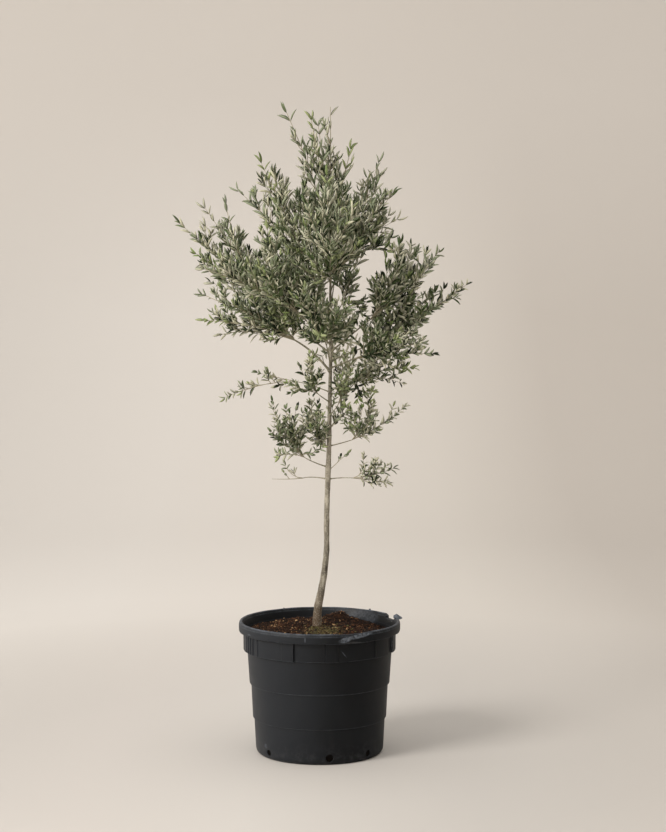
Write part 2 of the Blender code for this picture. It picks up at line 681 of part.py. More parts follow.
def keep_whole(obj):
    """Keep an object's one big shell: fusing can seal a small hollow or leave a scrap."""
    bm = bmesh.new()
    bm.from_mesh(obj.data)
    waiting, shells = set(bm.faces), []
    while waiting:
        shell, rim = [], [waiting.pop()]
        while rim:
            face = rim.pop()
            shell.append(face)
            plain = [edge for edge in face.edges if len(edge.link_faces) == 2]
            fresh = {near for edge in plain for near in edge.link_faces} & waiting
            waiting -= fresh
            rim.extend(fresh)
        shells.append(shell)
    shells.sort(key=len)
    bmesh.ops.delete(bm, geom=[face for shell in shells[:-1] for face in shell], context="FACES")
    bm.to_mesh(obj.data)
    bm.free()
    return obj


def make_mass(mass, spaces, seed):
    """A mass of foliage as one closed solid. Its pieces are all closed and many meet
    edge to edge, where the EXACT solver leaves open seams, so MANIFOLD joins them."""
    bundle = bpy.data.collections.new("bundle")
    bpy.context.scene.collection.children.link(bundle)
    pieces = list(pieces_of(mass, spaces, random.Random(seed)))
    core = add_mesh("foliage_" + mass.name, pieces[0], "olive_leaf")
    for bm in pieces[1:]:
        add_mesh("piece", bm, collection=bundle)
    joined = baked(combined(core, bundle, "UNION", "MANIFOLD"))
    for piece in list(bundle.objects):
        bpy.data.objects.remove(piece)
    bpy.data.collections.remove(bundle)
    return keep_whole(joined)


def make_tree():
    """The trunk, its boughs and its foliage."""
    make_trunk()
    cutter = make_trunk("trunk_cutter", CLEARANCE * 1000, CUTTERS)
    spaces = Spaces()
    points = [Vector(station[:3]) for station in TRUNK]
    spaces.add_limb(points, [station[3] for station in TRUNK])
    for mass in MASSES:
        if mass.elbow:
            make_bough(mass, cutter)
            spaces.add_limb(bough_path(mass), [mass.girth] * 4)
        for path in leaders(mass, 8):
            spaces.add_axis(mass.name, path)
    spaces.settle()
    for seed, mass in enumerate(MASSES):
        make_mass(mass, spaces, seed)
    bpy.data.objects.remove(cutter)


make_pot()
make_soil()
make_tree()
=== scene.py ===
"""Potted olive tree: a young olive grown as a short standard in a black nursery pot.

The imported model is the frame. Each section below dresses one part of the plant, in the
order in which it is put together: pot, potting mix, trunk and boughs, shoots and leaves,
and last the studio. Everything is in metres unless a table says millimetres, +Z is up and
the front is towards -Y.
"""

import math
import random
from collections import namedtuple

import bmesh
import bpy
import numpy as np
from mathutils import Matrix, Vector, noise


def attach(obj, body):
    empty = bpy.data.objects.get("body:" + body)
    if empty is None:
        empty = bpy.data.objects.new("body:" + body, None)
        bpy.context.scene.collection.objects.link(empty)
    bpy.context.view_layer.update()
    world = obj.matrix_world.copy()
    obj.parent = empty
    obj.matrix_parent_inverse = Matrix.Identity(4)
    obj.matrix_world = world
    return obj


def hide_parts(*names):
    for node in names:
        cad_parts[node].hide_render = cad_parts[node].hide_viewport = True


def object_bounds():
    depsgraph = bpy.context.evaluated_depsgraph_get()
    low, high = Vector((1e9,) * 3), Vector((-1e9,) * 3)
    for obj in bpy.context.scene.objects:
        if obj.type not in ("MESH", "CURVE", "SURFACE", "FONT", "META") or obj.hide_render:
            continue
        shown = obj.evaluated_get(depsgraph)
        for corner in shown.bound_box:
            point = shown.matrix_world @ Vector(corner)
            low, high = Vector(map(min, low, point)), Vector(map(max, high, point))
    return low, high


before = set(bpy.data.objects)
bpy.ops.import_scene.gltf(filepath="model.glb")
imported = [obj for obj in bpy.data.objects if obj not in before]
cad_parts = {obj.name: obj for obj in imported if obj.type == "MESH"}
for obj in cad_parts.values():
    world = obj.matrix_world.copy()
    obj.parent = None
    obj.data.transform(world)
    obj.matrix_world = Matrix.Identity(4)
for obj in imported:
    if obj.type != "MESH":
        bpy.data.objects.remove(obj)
cad_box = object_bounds()


# ---- Camera ------------------------------------------------------------------------------
# A long lens at chest height, five and a half metres away, tipped a little downwards so
# that the foot of the pot and the whole crown are in view.

def linked(name, data):
    """A new object that holds a camera, a mesh or a lamp, linked to the scene."""
    made = bpy.data.objects.new(name, data)
    bpy.context.scene.collection.objects.link(made)
    return made


sight = bpy.data.cameras.new("camera")
sight.lens = 87.19
sight.sensor_width = 36.0
sight.clip_end = 60.0
camera = linked("camera", sight)
camera.location = (0.0371, -5.5, 1.346)
camera.rotation_euler = (math.radians(90 - 4.34), 0.0, 0.0)
bpy.context.scene.camera = camera


# ---- Pot ---------------------------------------------------------------------------------
# A nursery container of black polypropylene, injection-moulded in one piece: three tapered
# tiers, a collar of raised and set-back panels, and a hooked lip to lift it by. It is old:
# the lip is torn and bitten at the back right, and flattened and scuffed at the front.

POT_HEIGHT = 0.364
RIM_RADIUS = 0.2225
MOUTH_RADIUS = 0.2135
LIP_BOTTOM = 0.336
COLLAR_BOTTOM = 0.285
UP = Vector((0.0, 0.0, 1.0))

# From the middle of the floor up the inside, over the rim, down the outside and back.
POT_PROFILE = (
    (0.0000, 0.0030), (0.1700, 0.0030), (0.1731, 0.0060), (0.1780, 0.0980), (0.1860, 0.1930),
    (0.1960, 0.2850), (0.2030, 0.3360), (0.2098, 0.3525), (0.2124, 0.3600), (0.2138, 0.3632),
    (0.2152, 0.3640), (0.2168, 0.3634), (0.2176, 0.3630), (0.2190, 0.3636), (0.2203, 0.3628),
    (0.2214, 0.3604), (0.2222, 0.3570), (0.2225, 0.3530), (0.2224, 0.3430), (0.2219, 0.3382),
    (0.2208, 0.3364), (0.2192, 0.3362), (0.2112, 0.3368), (0.2105, 0.3360), (0.2104, 0.3330),
    (0.2099, 0.2875), (0.2092, 0.2856), (0.2076, 0.2850), (0.1992, 0.2842), (0.1989, 0.2815),
    (0.1934, 0.1955), (0.1929, 0.1936), (0.1915, 0.1931), (0.1892, 0.1926), (0.1887, 0.1905),
    (0.1844, 0.1000), (0.1840, 0.0985), (0.1828, 0.0980), (0.1808, 0.0976), (0.1805, 0.0958),
    (0.1762, 0.0150), (0.1755, 0.0100), (0.1741, 0.0062), (0.1719, 0.0030), (0.1692, 0.0008),
    (0.1665, 0.0000), (0.0000, 0.0000),
)

# Panels of the collar that are set back: first and last azimuth in degrees, and depth.
# 0 is towards +X and -90 is the front.
COLLAR_PANELS = (
    (-157.5, -155.5, 0.0025), (-153.5, -151.5, 0.0025), (-149.5, -147.5, 0.0025),
    (-161.5, -159.5, 0.0025), (-143, -119, 0.0018), (-109, -85, 0.0056), (-76, -43, 0.0036),
    (-27, -17, 0.0062), (3, 37, 0.0030), (47, 71, 0.0050), (81, 105, 0.0050),
    (113, 145, 0.0022), (155, 179, 0.0035),
)


def in_turn(azimuth):
    """A direction in the ground plane at an azimuth in degrees."""
    return Vector((math.cos(math.radians(azimuth)), math.sin(math.radians(azimuth)), 0.0))


def smooth_mesh(name, bm, material=None):
    """A mesh from a bmesh, which is freed, shaded smooth."""
    mesh = bpy.data.meshes.new(name)
    bm.to_mesh(mesh)
    bm.free()
    if material:
        mesh.materials.append(material)
    mesh.polygons.foreach_set("use_smooth", [True] * len(mesh.polygons))
    return mesh


def riding(name, mesh):
    """A piece of the plant with this mesh."""
    piece = linked(name, mesh)
    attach(piece, "root")
    return piece


def cut(piece, tool):
    """Cut a piece with a tool, which is used up, and keep the result as plain mesh."""
    step = piece.modifiers.new("cut", "BOOLEAN")
    step.operation = "DIFFERENCE"
    step.solver = "EXACT"
    step.material_mode = "TRANSFER"
    step.object = tool
    bpy.context.view_layer.update()
    graph = bpy.context.evaluated_depsgraph_get()
    mesh = bpy.data.meshes.new_from_object(piece.evaluated_get(graph))
    piece.modifiers.remove(step)
    piece.data = mesh
    bpy.data.objects.remove(tool)


def tool_from(bm, finish):
    """A cutting tool from a bmesh, which leaves its finish on the faces that it cuts."""
    bmesh.ops.recalc_face_normals(bm, faces=bm.faces)
    return linked("tool", smooth_mesh("tool", bm, finish))


def set_on_pot(bm, azimuth, radius, height, lean=Matrix()):
    """Lean a small shape, then set it on the pot at an azimuth, a radius and a height."""
    swing = Matrix.Rotation(math.radians(azimuth), 4, "Z")
    place = swing @ Matrix.Translation((radius, 0, height)) @ lean
    bmesh.ops.transform(bm, matrix=place, verts=bm.verts)


def moulded_pot():
    """The whole pot, turned from its profile, with the collar's panels set back."""
    stops = {1.0}
    for first, last, _ in COLLAR_PANELS:
        stops |= {(edge + side) % 360 for edge in (first, last) for side in (-0.22, 0.22)}
    stops = sorted(stops)
    bm = bmesh.new()
    start = in_turn(stops[0])
    row = [bm.verts.new(start * radius + UP * height) for radius, height in POT_PROFILE]
    geom = row + [bm.edges.new(pair) for pair in zip(row, row[1:])]
    for here, there in zip(stops, stops[1:] + [stops[0] + 360]):
        turned = bmesh.ops.spin(
            bm, geom=geom, axis=(0, 0, 1), angle=math.radians(there - here),
            steps=max(1, round((there - here) / 2.0)), use_duplicate=False,
        )
        geom = turned["geom_last"]
    bmesh.ops.remove_doubles(bm, verts=bm.verts, dist=0.00002)
    for vert in bm.verts:
        azimuth = math.degrees(math.atan2(vert.co.y, vert.co.x))
        low, high = COLLAR_BOTTOM - 0.0002, LIP_BOTTOM + 0.0010
        if low < vert.co.z < high and vert.co.xy.length > 0.2070:
            for first, last, depth in COLLAR_PANELS:
                if any(first < azimuth + lap < last for lap in (-360, 0, 360)):
                    vert.co.xy *= 1 - depth / vert.co.xy.length
    bmesh.ops.recalc_face_normals(bm, faces=bm.faces)
    return bm


def knock_lip(bm):
    """Flatten the lip's shoulder at the front and let it sag, as a knock has left it."""
    for vert in bm.verts:
        azimuth = math.degrees(math.atan2(vert.co.y, vert.co.x))
        if vert.co.z < LIP_BOTTOM - 0.001 or vert.co.xy.length < MOUTH_RADIUS:
            continue
        into = min(1.0, max(0.0, (azimuth + 79) / 4)) * min(1.0, max(0.0, (-51 - azimuth) / 1.5))
        if into > 0:
            rough = 0.6 + 0.4 * noise.noise(vert.co * 90)
            high = (vert.co.z - LIP_BOTTOM) / (POT_HEIGHT - LIP_BOTTOM)
            deepest = 1 - abs(azimuth + 70) / 22
            vert.co.z -= into * rough * (0.0012 + 0.0030 * high * max(0.0, deepest))
            vert.co.xy *= 1 - into * rough * 0.010 * max(0.0, high - 0.35)
        vert.co.z += 0.0007 * noise.noise(Vector((azimuth * 0.06, 0.0, 4.0)))


# Drain holes through the foot of the wall: azimuth and radius of each.
DRAIN_HOLES = (
    (-141, 0.0080), (-81, 0.0100), (-41.5, 0.0085), (20, 0.0090), (80, 0.0085), (140, 0.0090),
)
DRAIN_HEIGHT = 0.0195


def drain_tool(azimuth, radius, finish):
    """A short ragged rod through the foot of the wall."""
    bm = bmesh.new()
    bmesh.ops.create_cone(
        bm, cap_ends=True, segments=22, radius1=radius * 1.12, radius2=radius, depth=0.03
    )
    own = Vector((azimuth, 0, 0))
    for vert in bm.verts:
        vert.co.xy *= 1 + 0.16 * noise.noise(vert.co.normalized() * 2.6 + own)
    set_on_pot(bm, azimuth, 0.172, DRAIN_HEIGHT, Matrix.Rotation(math.radians(-90), 4, "Y"))
    return tool_from(bm, finish)


# The outline of the missing bite: azimuth and depth below the rim.
BITE = (
    (12.0, -0.010), (12.6, 0.004), (13.0, 0.0105), (14.4, 0.0122), (15.6, 0.0150), (17.0, 0.0144),
    (18.6, 0.0152), (20.4, 0.0128), (22.2, 0.0122), (24.0, 0.0136), (26.4, 0.0124), (28.8, 0.0132),
    (29.4, 0.0104), (28.9, 0.0072), (29.8, 0.0034), (30.8, 0.0016), (31.2, -0.010),
)


def bite_tool(finish):
    """The ragged outline of the bite, swept outwards through the lip."""
    bm = bmesh.new()
    inner, outer = 0.19, 0.25
    places = [in_turn(azimuth) * inner + UP * (POT_HEIGHT - depth) for azimuth, depth in BITE]
    face = bm.faces.new([bm.verts.new(place) for place in places])
    for item in bmesh.ops.extrude_face_region(bm, geom=[face])["geom"]:
        if isinstance(item, bmesh.types.BMVert):
            item.co.xy *= outer / inner
    return tool_from(bm, finish)


def notch_tool(azimuth, long, high, finish):
    """A small ragged break in the lip's lower edge."""
    bm = bmesh.new()
    bmesh.ops.create_icosphere(bm, subdivisions=2, radius=1.0)
    for vert in bm.verts:
        vert.co *= 1 + 0.45 * noise.noise(vert.co * 2.3)
    bmesh.ops.scale(bm, verts=bm.verts, vec=(0.0042, long, high))
    set_on_pot(bm, azimuth, RIM_RADIUS + 0.0003, LIP_BOTTOM + 0.0015)
    return tool_from(bm, finish)


def torn_flap():
    """The torn end of the lip beside the bite: a thick rag of plastic, bent out and twisted."""
    bm = bmesh.new()
    bmesh.ops.create_cube(bm, size=1.0)
    bmesh.ops.subdivide_edges(bm, edges=bm.edges, cuts=6, use_grid_fill=True)
    long = 0.0250
    bmesh.ops.scale(bm, verts=bm.verts, vec=(long, 0.0190, 0.0034))
    parts = (0.0, 0.15, 0.34, 0.5, 0.8, 1.0)
    for vert in bm.verts:
        part = vert.co.x / long + 0.5
        broad = float(np.interp(part, parts, (0.40, 0.62, 1.10, 0.78, 0.62, 0.10)))
        vert.co.y *= broad + 0.22 * noise.noise(Vector((vert.co.x * 300, 0.0, 1.0)))
        vert.co.z *= 1.25 - 0.7 * part
        vert.co.z += 0.0013 * math.sin(part * 5.2) + 0.0018 * noise.noise(vert.co * 230)
    lean = Matrix.Rotation(math.radians(9), 4, "Y") @ Matrix.Rotation(math.radians(36), 4, "X")
    set_on_pot(bm, 9.5, RIM_RADIUS - 0.0020, POT_HEIGHT + 0.0015, lean)
    return bm


def lip_nub(azimuth, long, high):
    """A hard drip of plastic left on the rim."""
    bm = bmesh.new()
    bmesh.ops.create_icosphere(bm, subdivisions=2, radius=1.0)
    bmesh.ops.scale(bm, verts=bm.verts, vec=(0.0022, long, high))
    for vert in bm.verts:
        vert.co *= 1 + 0.25 * noise.noise(vert.co * 400)
    set_on_pot(bm, azimuth, RIM_RADIUS - 0.0040, POT_HEIGHT - 0.0004)
    return bm


def joined(bm, *others):
    """One bmesh that holds the shells of several, which are freed."""
    for other in others:
        spare = smooth_mesh("spare", other)
        bm.from_mesh(spare)
        bpy.data.meshes.remove(spare)
    return bm


def linear(hex_colour):
    """A linear colour with alpha from an sRGB hex colour."""
    channels = [int(hex_colour[at:at + 2], 16) / 255 for at in (1, 3, 5)]
    return (*[c / 12.92 if c <= 0.04045 else ((c + 0.055) / 1.055) ** 2.4 for c in channels], 1.0)


def node(tree, kind, settings=None, give=0, **links):
    """Add a node with its settings, plug sockets or values into its inputs, which go by name,
    or by number after an i, and give back one output. A colour ramp's stops are a setting,
    and colours are linear or hex."""
    made = tree.nodes.new(kind)
    for name, value in (settings or {}).items():
        if name == "stops":
            while len(made.color_ramp.elements) < len(value):
                made.color_ramp.elements.new(0.5)
            for element, (position, colour) in zip(made.color_ramp.elements, value):
                element.position = position
                element.color = linear(colour) if isinstance(colour, str) else colour
        else:
            setattr(made, name, value)
    for name, value in links.items():
        key = int(name[1:]) if name[1:].isdigit() else name.replace("_", " ")
        if isinstance(value, bpy.types.NodeSocket):
            tree.links.new(value, made.inputs[key])
        else:
            made.inputs[key].default_value = linear(value) if isinstance(value, str) else value
    return made.outputs[give]


def finish_named(name, roughness=0.5, specular=0.5):
    """A new Principled finish: the material, its tree and its shader."""
    made = bpy.data.materials.new(name)
    made.use_nodes = True
    shader = made.node_tree.nodes["Principled BSDF"]
    shader.inputs["Roughness"].default_value = roughness
    shader.inputs["Specular IOR Level"].default_value = specular
    return made, made.node_tree, shader


def bands(tree, value, *stops):
    """A mask over a value: (value, strength) stops, joined by straight lines."""
    low, high = stops[0][0], stops[-1][0]
    part = node(tree, "ShaderNodeMapRange", Value=value, From_Min=low, From_Max=high)
    greys = [((at - low) / (high - low), (level, level, level, 1)) for at, level in stops]
    return node(tree, "ShaderNodeValToRGB", {"stops": greys}, Fac=part)


def spot(tree, place, centre, size, turn=(0.0, 0.0, 0.0)):
    """A mask that is one at a centre and fades to nought at an ellipsoid about it."""
    local = node(tree, "ShaderNodeMapping", {"vector_type": "TEXTURE"}, Vector=place,
                 Location=centre, Rotation=turn, Scale=size)
    away = node(tree, "ShaderNodeVectorMath", {"operation": "LENGTH"}, "Value", i0=local)
    return node(tree, "ShaderNodeMapRange", {"interpolation_type": "SMOOTHSTEP"}, Value=away,
                From_Min=1.1, From_Max=0.6)


def product(tree, *masks):
    """Where all of several masks hold."""
    both = masks[0]
    for mask in masks[1:]:
        both = node(tree, "ShaderNodeMath", {"operation": "MULTIPLY"}, i0=both, i1=mask)
    return both


# Marks on the pot, each in a soft ellipsoid: its centre, half-sizes, turn and strength.
POT_MARKS = (
    ((0.0700, -0.2100, 0.3475), (0.0200, 0.0200, 0.0075), (0.0, -0.20, 0.0), 1.0),
    ((0.1050, -0.1950, 0.3550), (0.0480, 0.0480, 0.0062), (0.0, -0.13, 0.0), 0.95),
    ((-0.0371, -0.2200, 0.3485), (0.0012, 0.0100, 0.0075), (0.0, 0.0, 0.0), 1.0),
    ((0.0664, -0.1975, 0.3066), (0.0011, 0.0200, 0.0140), (0.0, -0.66, 0.0), 0.55),
    ((-0.1885, -0.1153, 0.3440), (0.0100, 0.0100, 0.0030), (0.0, 0.0, 0.0), 0.5),
    ((-0.1465, -0.1020, 0.0355), (0.0080, 0.0080, 0.0075), (0.0, 0.0, 0.0), 0.35),
    ((0.2180, 0.0400, 0.3680), (0.0200, 0.0200, 0.0120), (0.0, 0.0, 0.0), 1.2),
    # A lighter patch on the inner wall and rim at the back right: partly dust and scuffing, partly
    # painted light where the lamp falls on it.
    ((0.1250, 0.1620, 0.3450), (0.0700, 0.0500, 0.0220), (0.0, 0.0, 0.0), 0.35),
)

# How much the edges are rubbed grey and painted with highlights at each height: the top of each tier
# and the lip's shoulders. The lip's top is a painted highlight.
RUBBED_AND_HIGHLIT = (
    (0.0, 0.0), (0.0965, 0.0), (0.0980, 0.55), (0.0995, 0.0), (0.1916, 0.0), (0.1932, 0.60),
    (0.1948, 0.0), (0.2838, 0.0), (0.2853, 0.55), (0.2868, 0.0), (0.3362, 0.0), (0.3374, 0.35),
    (0.3386, 0.0), (0.3545, 0.0), (0.3570, 0.45), (0.3590, 0.05), (0.3612, 0.20), (0.3632, 1.0),
    (0.3700, 1.0),
)


def moulded_polypropylene():
    """Black polypropylene, moulded against a lightly textured tool: a dull satin skin that dust has
    greyed in long soft patches. Its left side is painted lighter as lamp light, its edges are rubbed
    grey with painted highlights along them, and the lip is scuffed."""
    made, tree, shader = finish_named("moulded_polypropylene")
    shader.inputs["IOR"].default_value = 1.49
    place = node(tree, "ShaderNodeTexCoord", give="Object")
    x, y, height = [node(tree, "ShaderNodeSeparateXYZ", give=axis, Vector=place) for axis in "XYZ"]
    patches = node(tree, "ShaderNodeTexNoise", Vector=place, Scale=9.0, Detail=5.0, Roughness=0.6)
    shades = ((0.30, "#0d0f12"), (0.72, "#15181c"))
    plain = node(tree, "ShaderNodeValToRGB", {"stops": shades}, Fac=patches)
    # Painted light: the left side, where the lamp falls, is painted lighter, and the specular level
    # falls from the left side to the right.
    normal = node(tree, "ShaderNodeNewGeometry", give="Normal")
    facing = node(tree, "ShaderNodeSeparateXYZ", Vector=normal)
    sheen = bands(tree, facing, (-0.5, 0.24), (0.1, 0.20), (0.6, 0.13))
    tree.links.new(sheen, shader.inputs["Specular IOR Level"])
    painted_lit_side = product(tree, bands(tree, facing, (-0.1, 1.0), (0.2, 0.0)),
                    bands(tree, x, (-0.20, 0.85), (-0.06, 0.40), (0.10, 0.0), (0.20, 0.0)))
    painted_lit_side_colour = node(tree, "ShaderNodeMix", {"data_type": "RGBA"}, 2, i0=painted_lit_side, i6=plain, i7="#2a2e34")
    # Rubbed edges, partly real wear and partly painted highlights: level ones, and the upright edges of
    # the collar's panels.
    level = bands(tree, height, *RUBBED_AND_HIGHLIT)
    stops = [(-math.pi, 0.0)]
    for first, last, _ in COLLAR_PANELS:
        if last - first > 9:
            for turn, part in ((-0.5, 0.0), (-0.1, 0.7), (0.4, 0.0)):
                stops.append((math.radians(last + turn), part))
    bearing = node(tree, "ShaderNodeMath", {"operation": "ARCTAN2"}, i0=y, i1=x)
    upright = bands(tree, bearing, *stops, (math.pi, 0.0))
    collar = bands(tree, height, (0.280, 0.0), (0.286, 1.0), (0.334, 1.0), (0.338, 0.0))
    upright = product(tree, upright, collar)
    edges = node(tree, "ShaderNodeMath", {"operation": "MAXIMUM"}, i0=level, i1=upright)
    streaks = node(tree, "ShaderNodeTexNoise", Vector=place, Scale=34.0, Detail=5.0, Roughness=0.7)
    flecks = node(tree, "ShaderNodeTexNoise", Vector=place, Scale=210.0, Detail=4.0, Roughness=0.7)
    worn_and_highlit = product(tree, edges, bands(tree, streaks, (0.30, 0.15), (0.62, 1.0)),
                   bands(tree, flecks, (0.35, 0.25), (0.62, 1.0)))
    # The scuffed stretch on the front of the lip, then single scratches and knocks, and a light patch
    # at the back right that is partly painted light.
    scrape = node(tree, "ShaderNodeTexNoise", Vector=place, Scale=120.0, Detail=6.0, Roughness=0.75)
    flaked = bands(tree, scrape, (0.38, 0.15), (0.60, 1.0))
    for centre, size, turn, strength in POT_MARKS:
        mark = product(tree, spot(tree, place, centre, size, turn), strength, flaked)
        worn_and_highlit = node(tree, "ShaderNodeMath", {"operation": "MAXIMUM"}, i0=worn_and_highlit, i1=mark)
    marked = node(tree, "ShaderNodeMix", {"data_type": "RGBA"}, 2, i0=worn_and_highlit, i6=painted_lit_side_colour, i7="#6f7680")
    # Dried splashes of soil in the bottom few centimetres.
    splash = node(tree, "ShaderNodeTexNoise", Vector=place, Scale=70.0, Detail=6.0, Roughness=0.7)
    dust = product(tree, bands(tree, height, (0.0, 1.0), (0.065, 0.0)),
                   bands(tree, splash, (0.48, 0.0), (0.75, 0.6)))
    dusty = node(tree, "ShaderNodeMix", {"data_type": "RGBA"}, 2, i0=dust, i6=marked, i7="#46474a")
    tree.links.new(dusty, shader.inputs["Base Color"])
    gloss = bands(tree, patches, (0.3, 0.42), (0.7, 0.56))
    tree.links.new(gloss, shader.inputs["Roughness"])
    # The tool's texture, with a grain of 1.2 mm: a finer one would not show.
    grain = node(tree, "ShaderNodeTexNoise", Vector=place, Scale=800.0, Detail=2.0)
    bump = node(tree, "ShaderNodeBump", Strength=0.10, Distance=0.0004, Height=grain)
    tree.links.new(bump, shader.inputs["Normal"])
    return made


def torn_polypropylene():
    """The same plastic where it has broken or been punched: rough, and whitened a little."""
    made, tree, shader = finish_named("torn_polypropylene", roughness=0.7, specular=0.3)
    place = node(tree, "ShaderNodeTexCoord", give="Object")
    frayed = node(tree, "ShaderNodeTexNoise", Vector=place, Scale=260.0, Detail=4.0, Roughness=0.7)
    shades = ((0.35, "#141517"), (0.65, "#45484c"))
    shade = node(tree, "ShaderNodeValToRGB", {"stops": shades}, Fac=frayed)
    tree.links.new(shade, shader.inputs["Base Color"])
    return made


pot_shell = moulded_pot()
knock_lip(pot_shell)
pot = riding("nursery_pot", smooth_mesh("nursery_pot", pot_shell, moulded_polypropylene()))
torn = torn_polypropylene()
for hole in DRAIN_HOLES:
    cut(pot, drain_tool(*hole, torn))
cut(pot, bite_tool(torn))
cut(pot, notch_tool(-148.6, 0.0085, 0.0060, torn))
cut(pot, notch_tool(-66.5, 0.0420, 0.0045, torn))
extras = bmesh.new()
extras.from_mesh(pot.data)
joined(extras, torn_flap(), lip_nub(49.5, 0.0036, 0.0040), lip_nub(118, 0.0030, 0.0018))
extras.to_mesh(pot.data)
extras.free()
pot.data.polygons.foreach_set("use_smooth", [True] * len(pot.data.polygons))
pot.data.set_sharp_from_angle(angle=math.radians(38))
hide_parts("pot")


# ---- Potting mix -------------------------------------------------------------------------
# Composted bark, dark and damp, heaped a little round the trunk and sunk at the wall. Loose
# chips lie on it, a few of them fresh and pale, and a film of moss tints it by the trunk.

SOIL_RADIUS = 0.2014
SOIL_EDGE_HEIGHT = 0.334
SOIL_FOOT_HEIGHT = 0.345
TRUNK_FOOT = Vector((-0.0066, 0.015))


# The lumps of the mix, from clods to crumbs: depth, layer of noise, and lumps a metre.
LUMPS = ((0.0040, 0.3, 28.0), (0.0026, 0.7, 75.0), (0.0022, 0.1, 190.0), (0.0012, 0.5, 420.0))


def soil_height(x, y):
    """The height of the mix: a low mound about the trunk, with lumps of several sizes."""
    here = Vector((x, y))
    away = (here - TRUNK_FOOT).length
    rise = SOIL_FOOT_HEIGHT - SOIL_EDGE_HEIGHT
    mound = SOIL_EDGE_HEIGHT + rise * math.exp(-((away / 0.16) ** 4))
    mound += 0.024 * math.exp(-((here - Vector((0.055, 0.145))).length / 0.038) ** 2)
    mound -= 0.014 * math.exp(-((here - Vector((0.160, 0.075))).length / 0.050) ** 2)
    lumps = 0.0
    for depth, layer, scale in LUMPS:
        lumps += depth * noise.noise(Vector((x, y, layer)) * scale)
    return mound + lumps * min(1.0, max(0.15, (away - 0.014) / 0.02))


def revolved(profile, steps, merge):
    """A shape turned full circle from a profile of (radius, height)."""
    bm = bmesh.new()
    row = [bm.verts.new((radius, 0.0, height)) for radius, height in profile]
    edges = [bm.edges.new(pair) for pair in zip(row, row[1:])]
    bmesh.ops.spin(bm, geom=row + edges, axis=(0, 0, 1), angle=math.tau, steps=steps,
                   use_merge=True, use_duplicate=False)
    bmesh.ops.remove_doubles(bm, verts=bm.verts, dist=merge)
    return bm


def heaped_mix():
    """The plug of mix with its lumpy top."""
    top = [(SOIL_RADIUS * index / 72, SOIL_EDGE_HEIGHT) for index in range(73)]
    sides = [(0.2010, 0.3300), (0.1948, 0.2850), (0.1850, 0.1930), (0.1770, 0.0980)]
    bm = revolved(top + sides + [(0.1722, 0.0062), (0.0, 0.0034)], 220, 0.00002)
    for vert in bm.verts:
        if vert.co.z > SOIL_EDGE_HEIGHT - 0.001:
            vert.co.z = soil_height(vert.co.x, vert.co.y)
    bmesh.ops.recalc_face_normals(bm, faces=bm.faces)
    return bm


def composted_bark():
    """Composted pine bark, sieved and damp: matt and red-brown, with painted shade near black in the
    gaps between the crumbs, and an olive film of moss in front of the trunk."""
    made, tree, shader = finish_named("composted_bark", roughness=0.92, specular=0.15)
    place = node(tree, "ShaderNodeTexCoord", give="Object")
    blotch = node(tree, "ShaderNodeTexNoise", Vector=place, Scale=60.0, Detail=7.0, Roughness=0.72)
    shades = ((0.30, "#160f0b"), (0.48, "#291a11"), (0.62, "#4b301d"), (0.78, "#7d5a3c"))
    shade = node(tree, "ShaderNodeValToRGB", {"stops": shades}, Fac=blotch)
    # Painted shade: the mix darkens towards the edge of each crumb, for the shade in the gaps between
    # them.
    crumbs = node(tree, "ShaderNodeTexVoronoi", give="Distance", Vector=place, Scale=240.0,
                  Randomness=1.0)
    gaps = ((0.0, (1, 1, 1, 1)), (0.75, (0.30, 0.28, 0.26, 1)))
    dark = node(tree, "ShaderNodeValToRGB", {"stops": gaps}, Fac=crumbs)
    brown = node(tree, "ShaderNodeMix", {"data_type": "RGBA", "blend_type": "MULTIPLY"}, 2,
                 i0=0.8, i6=shade, i7=dark)
    moved = node(tree, "ShaderNodeMapping", Vector=place, Location=(-0.010, 0.045, 0.0))
    flat = node(tree, "ShaderNodeVectorMath", {"operation": "MULTIPLY"}, i0=moved, i1=(17.0, 11.0, 0.0))
    away = node(tree, "ShaderNodeVectorMath", {"operation": "LENGTH"}, "Value", i0=flat)
    near = node(tree, "ShaderNodeMapRange", {"interpolation_type": "SMOOTHSTEP"}, Value=away,
                From_Min=1.15, From_Max=0.45)
    tufts = node(tree, "ShaderNodeTexNoise", Vector=place, Scale=130.0, Detail=5.0, Roughness=0.7)
    greys = ((0.42, (0, 0, 0, 1)), (0.62, (0.75, 0.75, 0.75, 1)))
    moss = product(tree, near, node(tree, "ShaderNodeValToRGB", {"stops": greys}, Fac=tufts))
    mossy = node(tree, "ShaderNodeMix", {"data_type": "RGBA"}, 2, i0=moss, i6=brown, i7="#6f6744")
    # The sides of the plug, which show only through the drain holes, are darkened to near black below
    # 0.31 m.
    height = node(tree, "ShaderNodeSeparateXYZ", give="Z", Vector=place)
    wet = bands(tree, height, (0.20, 0.85), (0.31, 0.0))
    damp = node(tree, "ShaderNodeMix", {"data_type": "RGBA"}, 2, i0=wet, i6=mossy, i7="#0b0908")
    tree.links.new(damp, shader.inputs["Base Color"])
    bump = node(tree, "ShaderNodeBump", Strength=0.8, Distance=0.0015, Height=blotch)
    tree.links.new(bump, shader.inputs["Normal"])
    return made


def plain_finish(name, hex_colour, roughness, specular=0.5):
    """A finish of one colour, for pieces too small to show more."""
    made, _, shader = finish_named(name, roughness, specular)
    shader.inputs["Base Color"].default_value = linear(hex_colour)
    return made


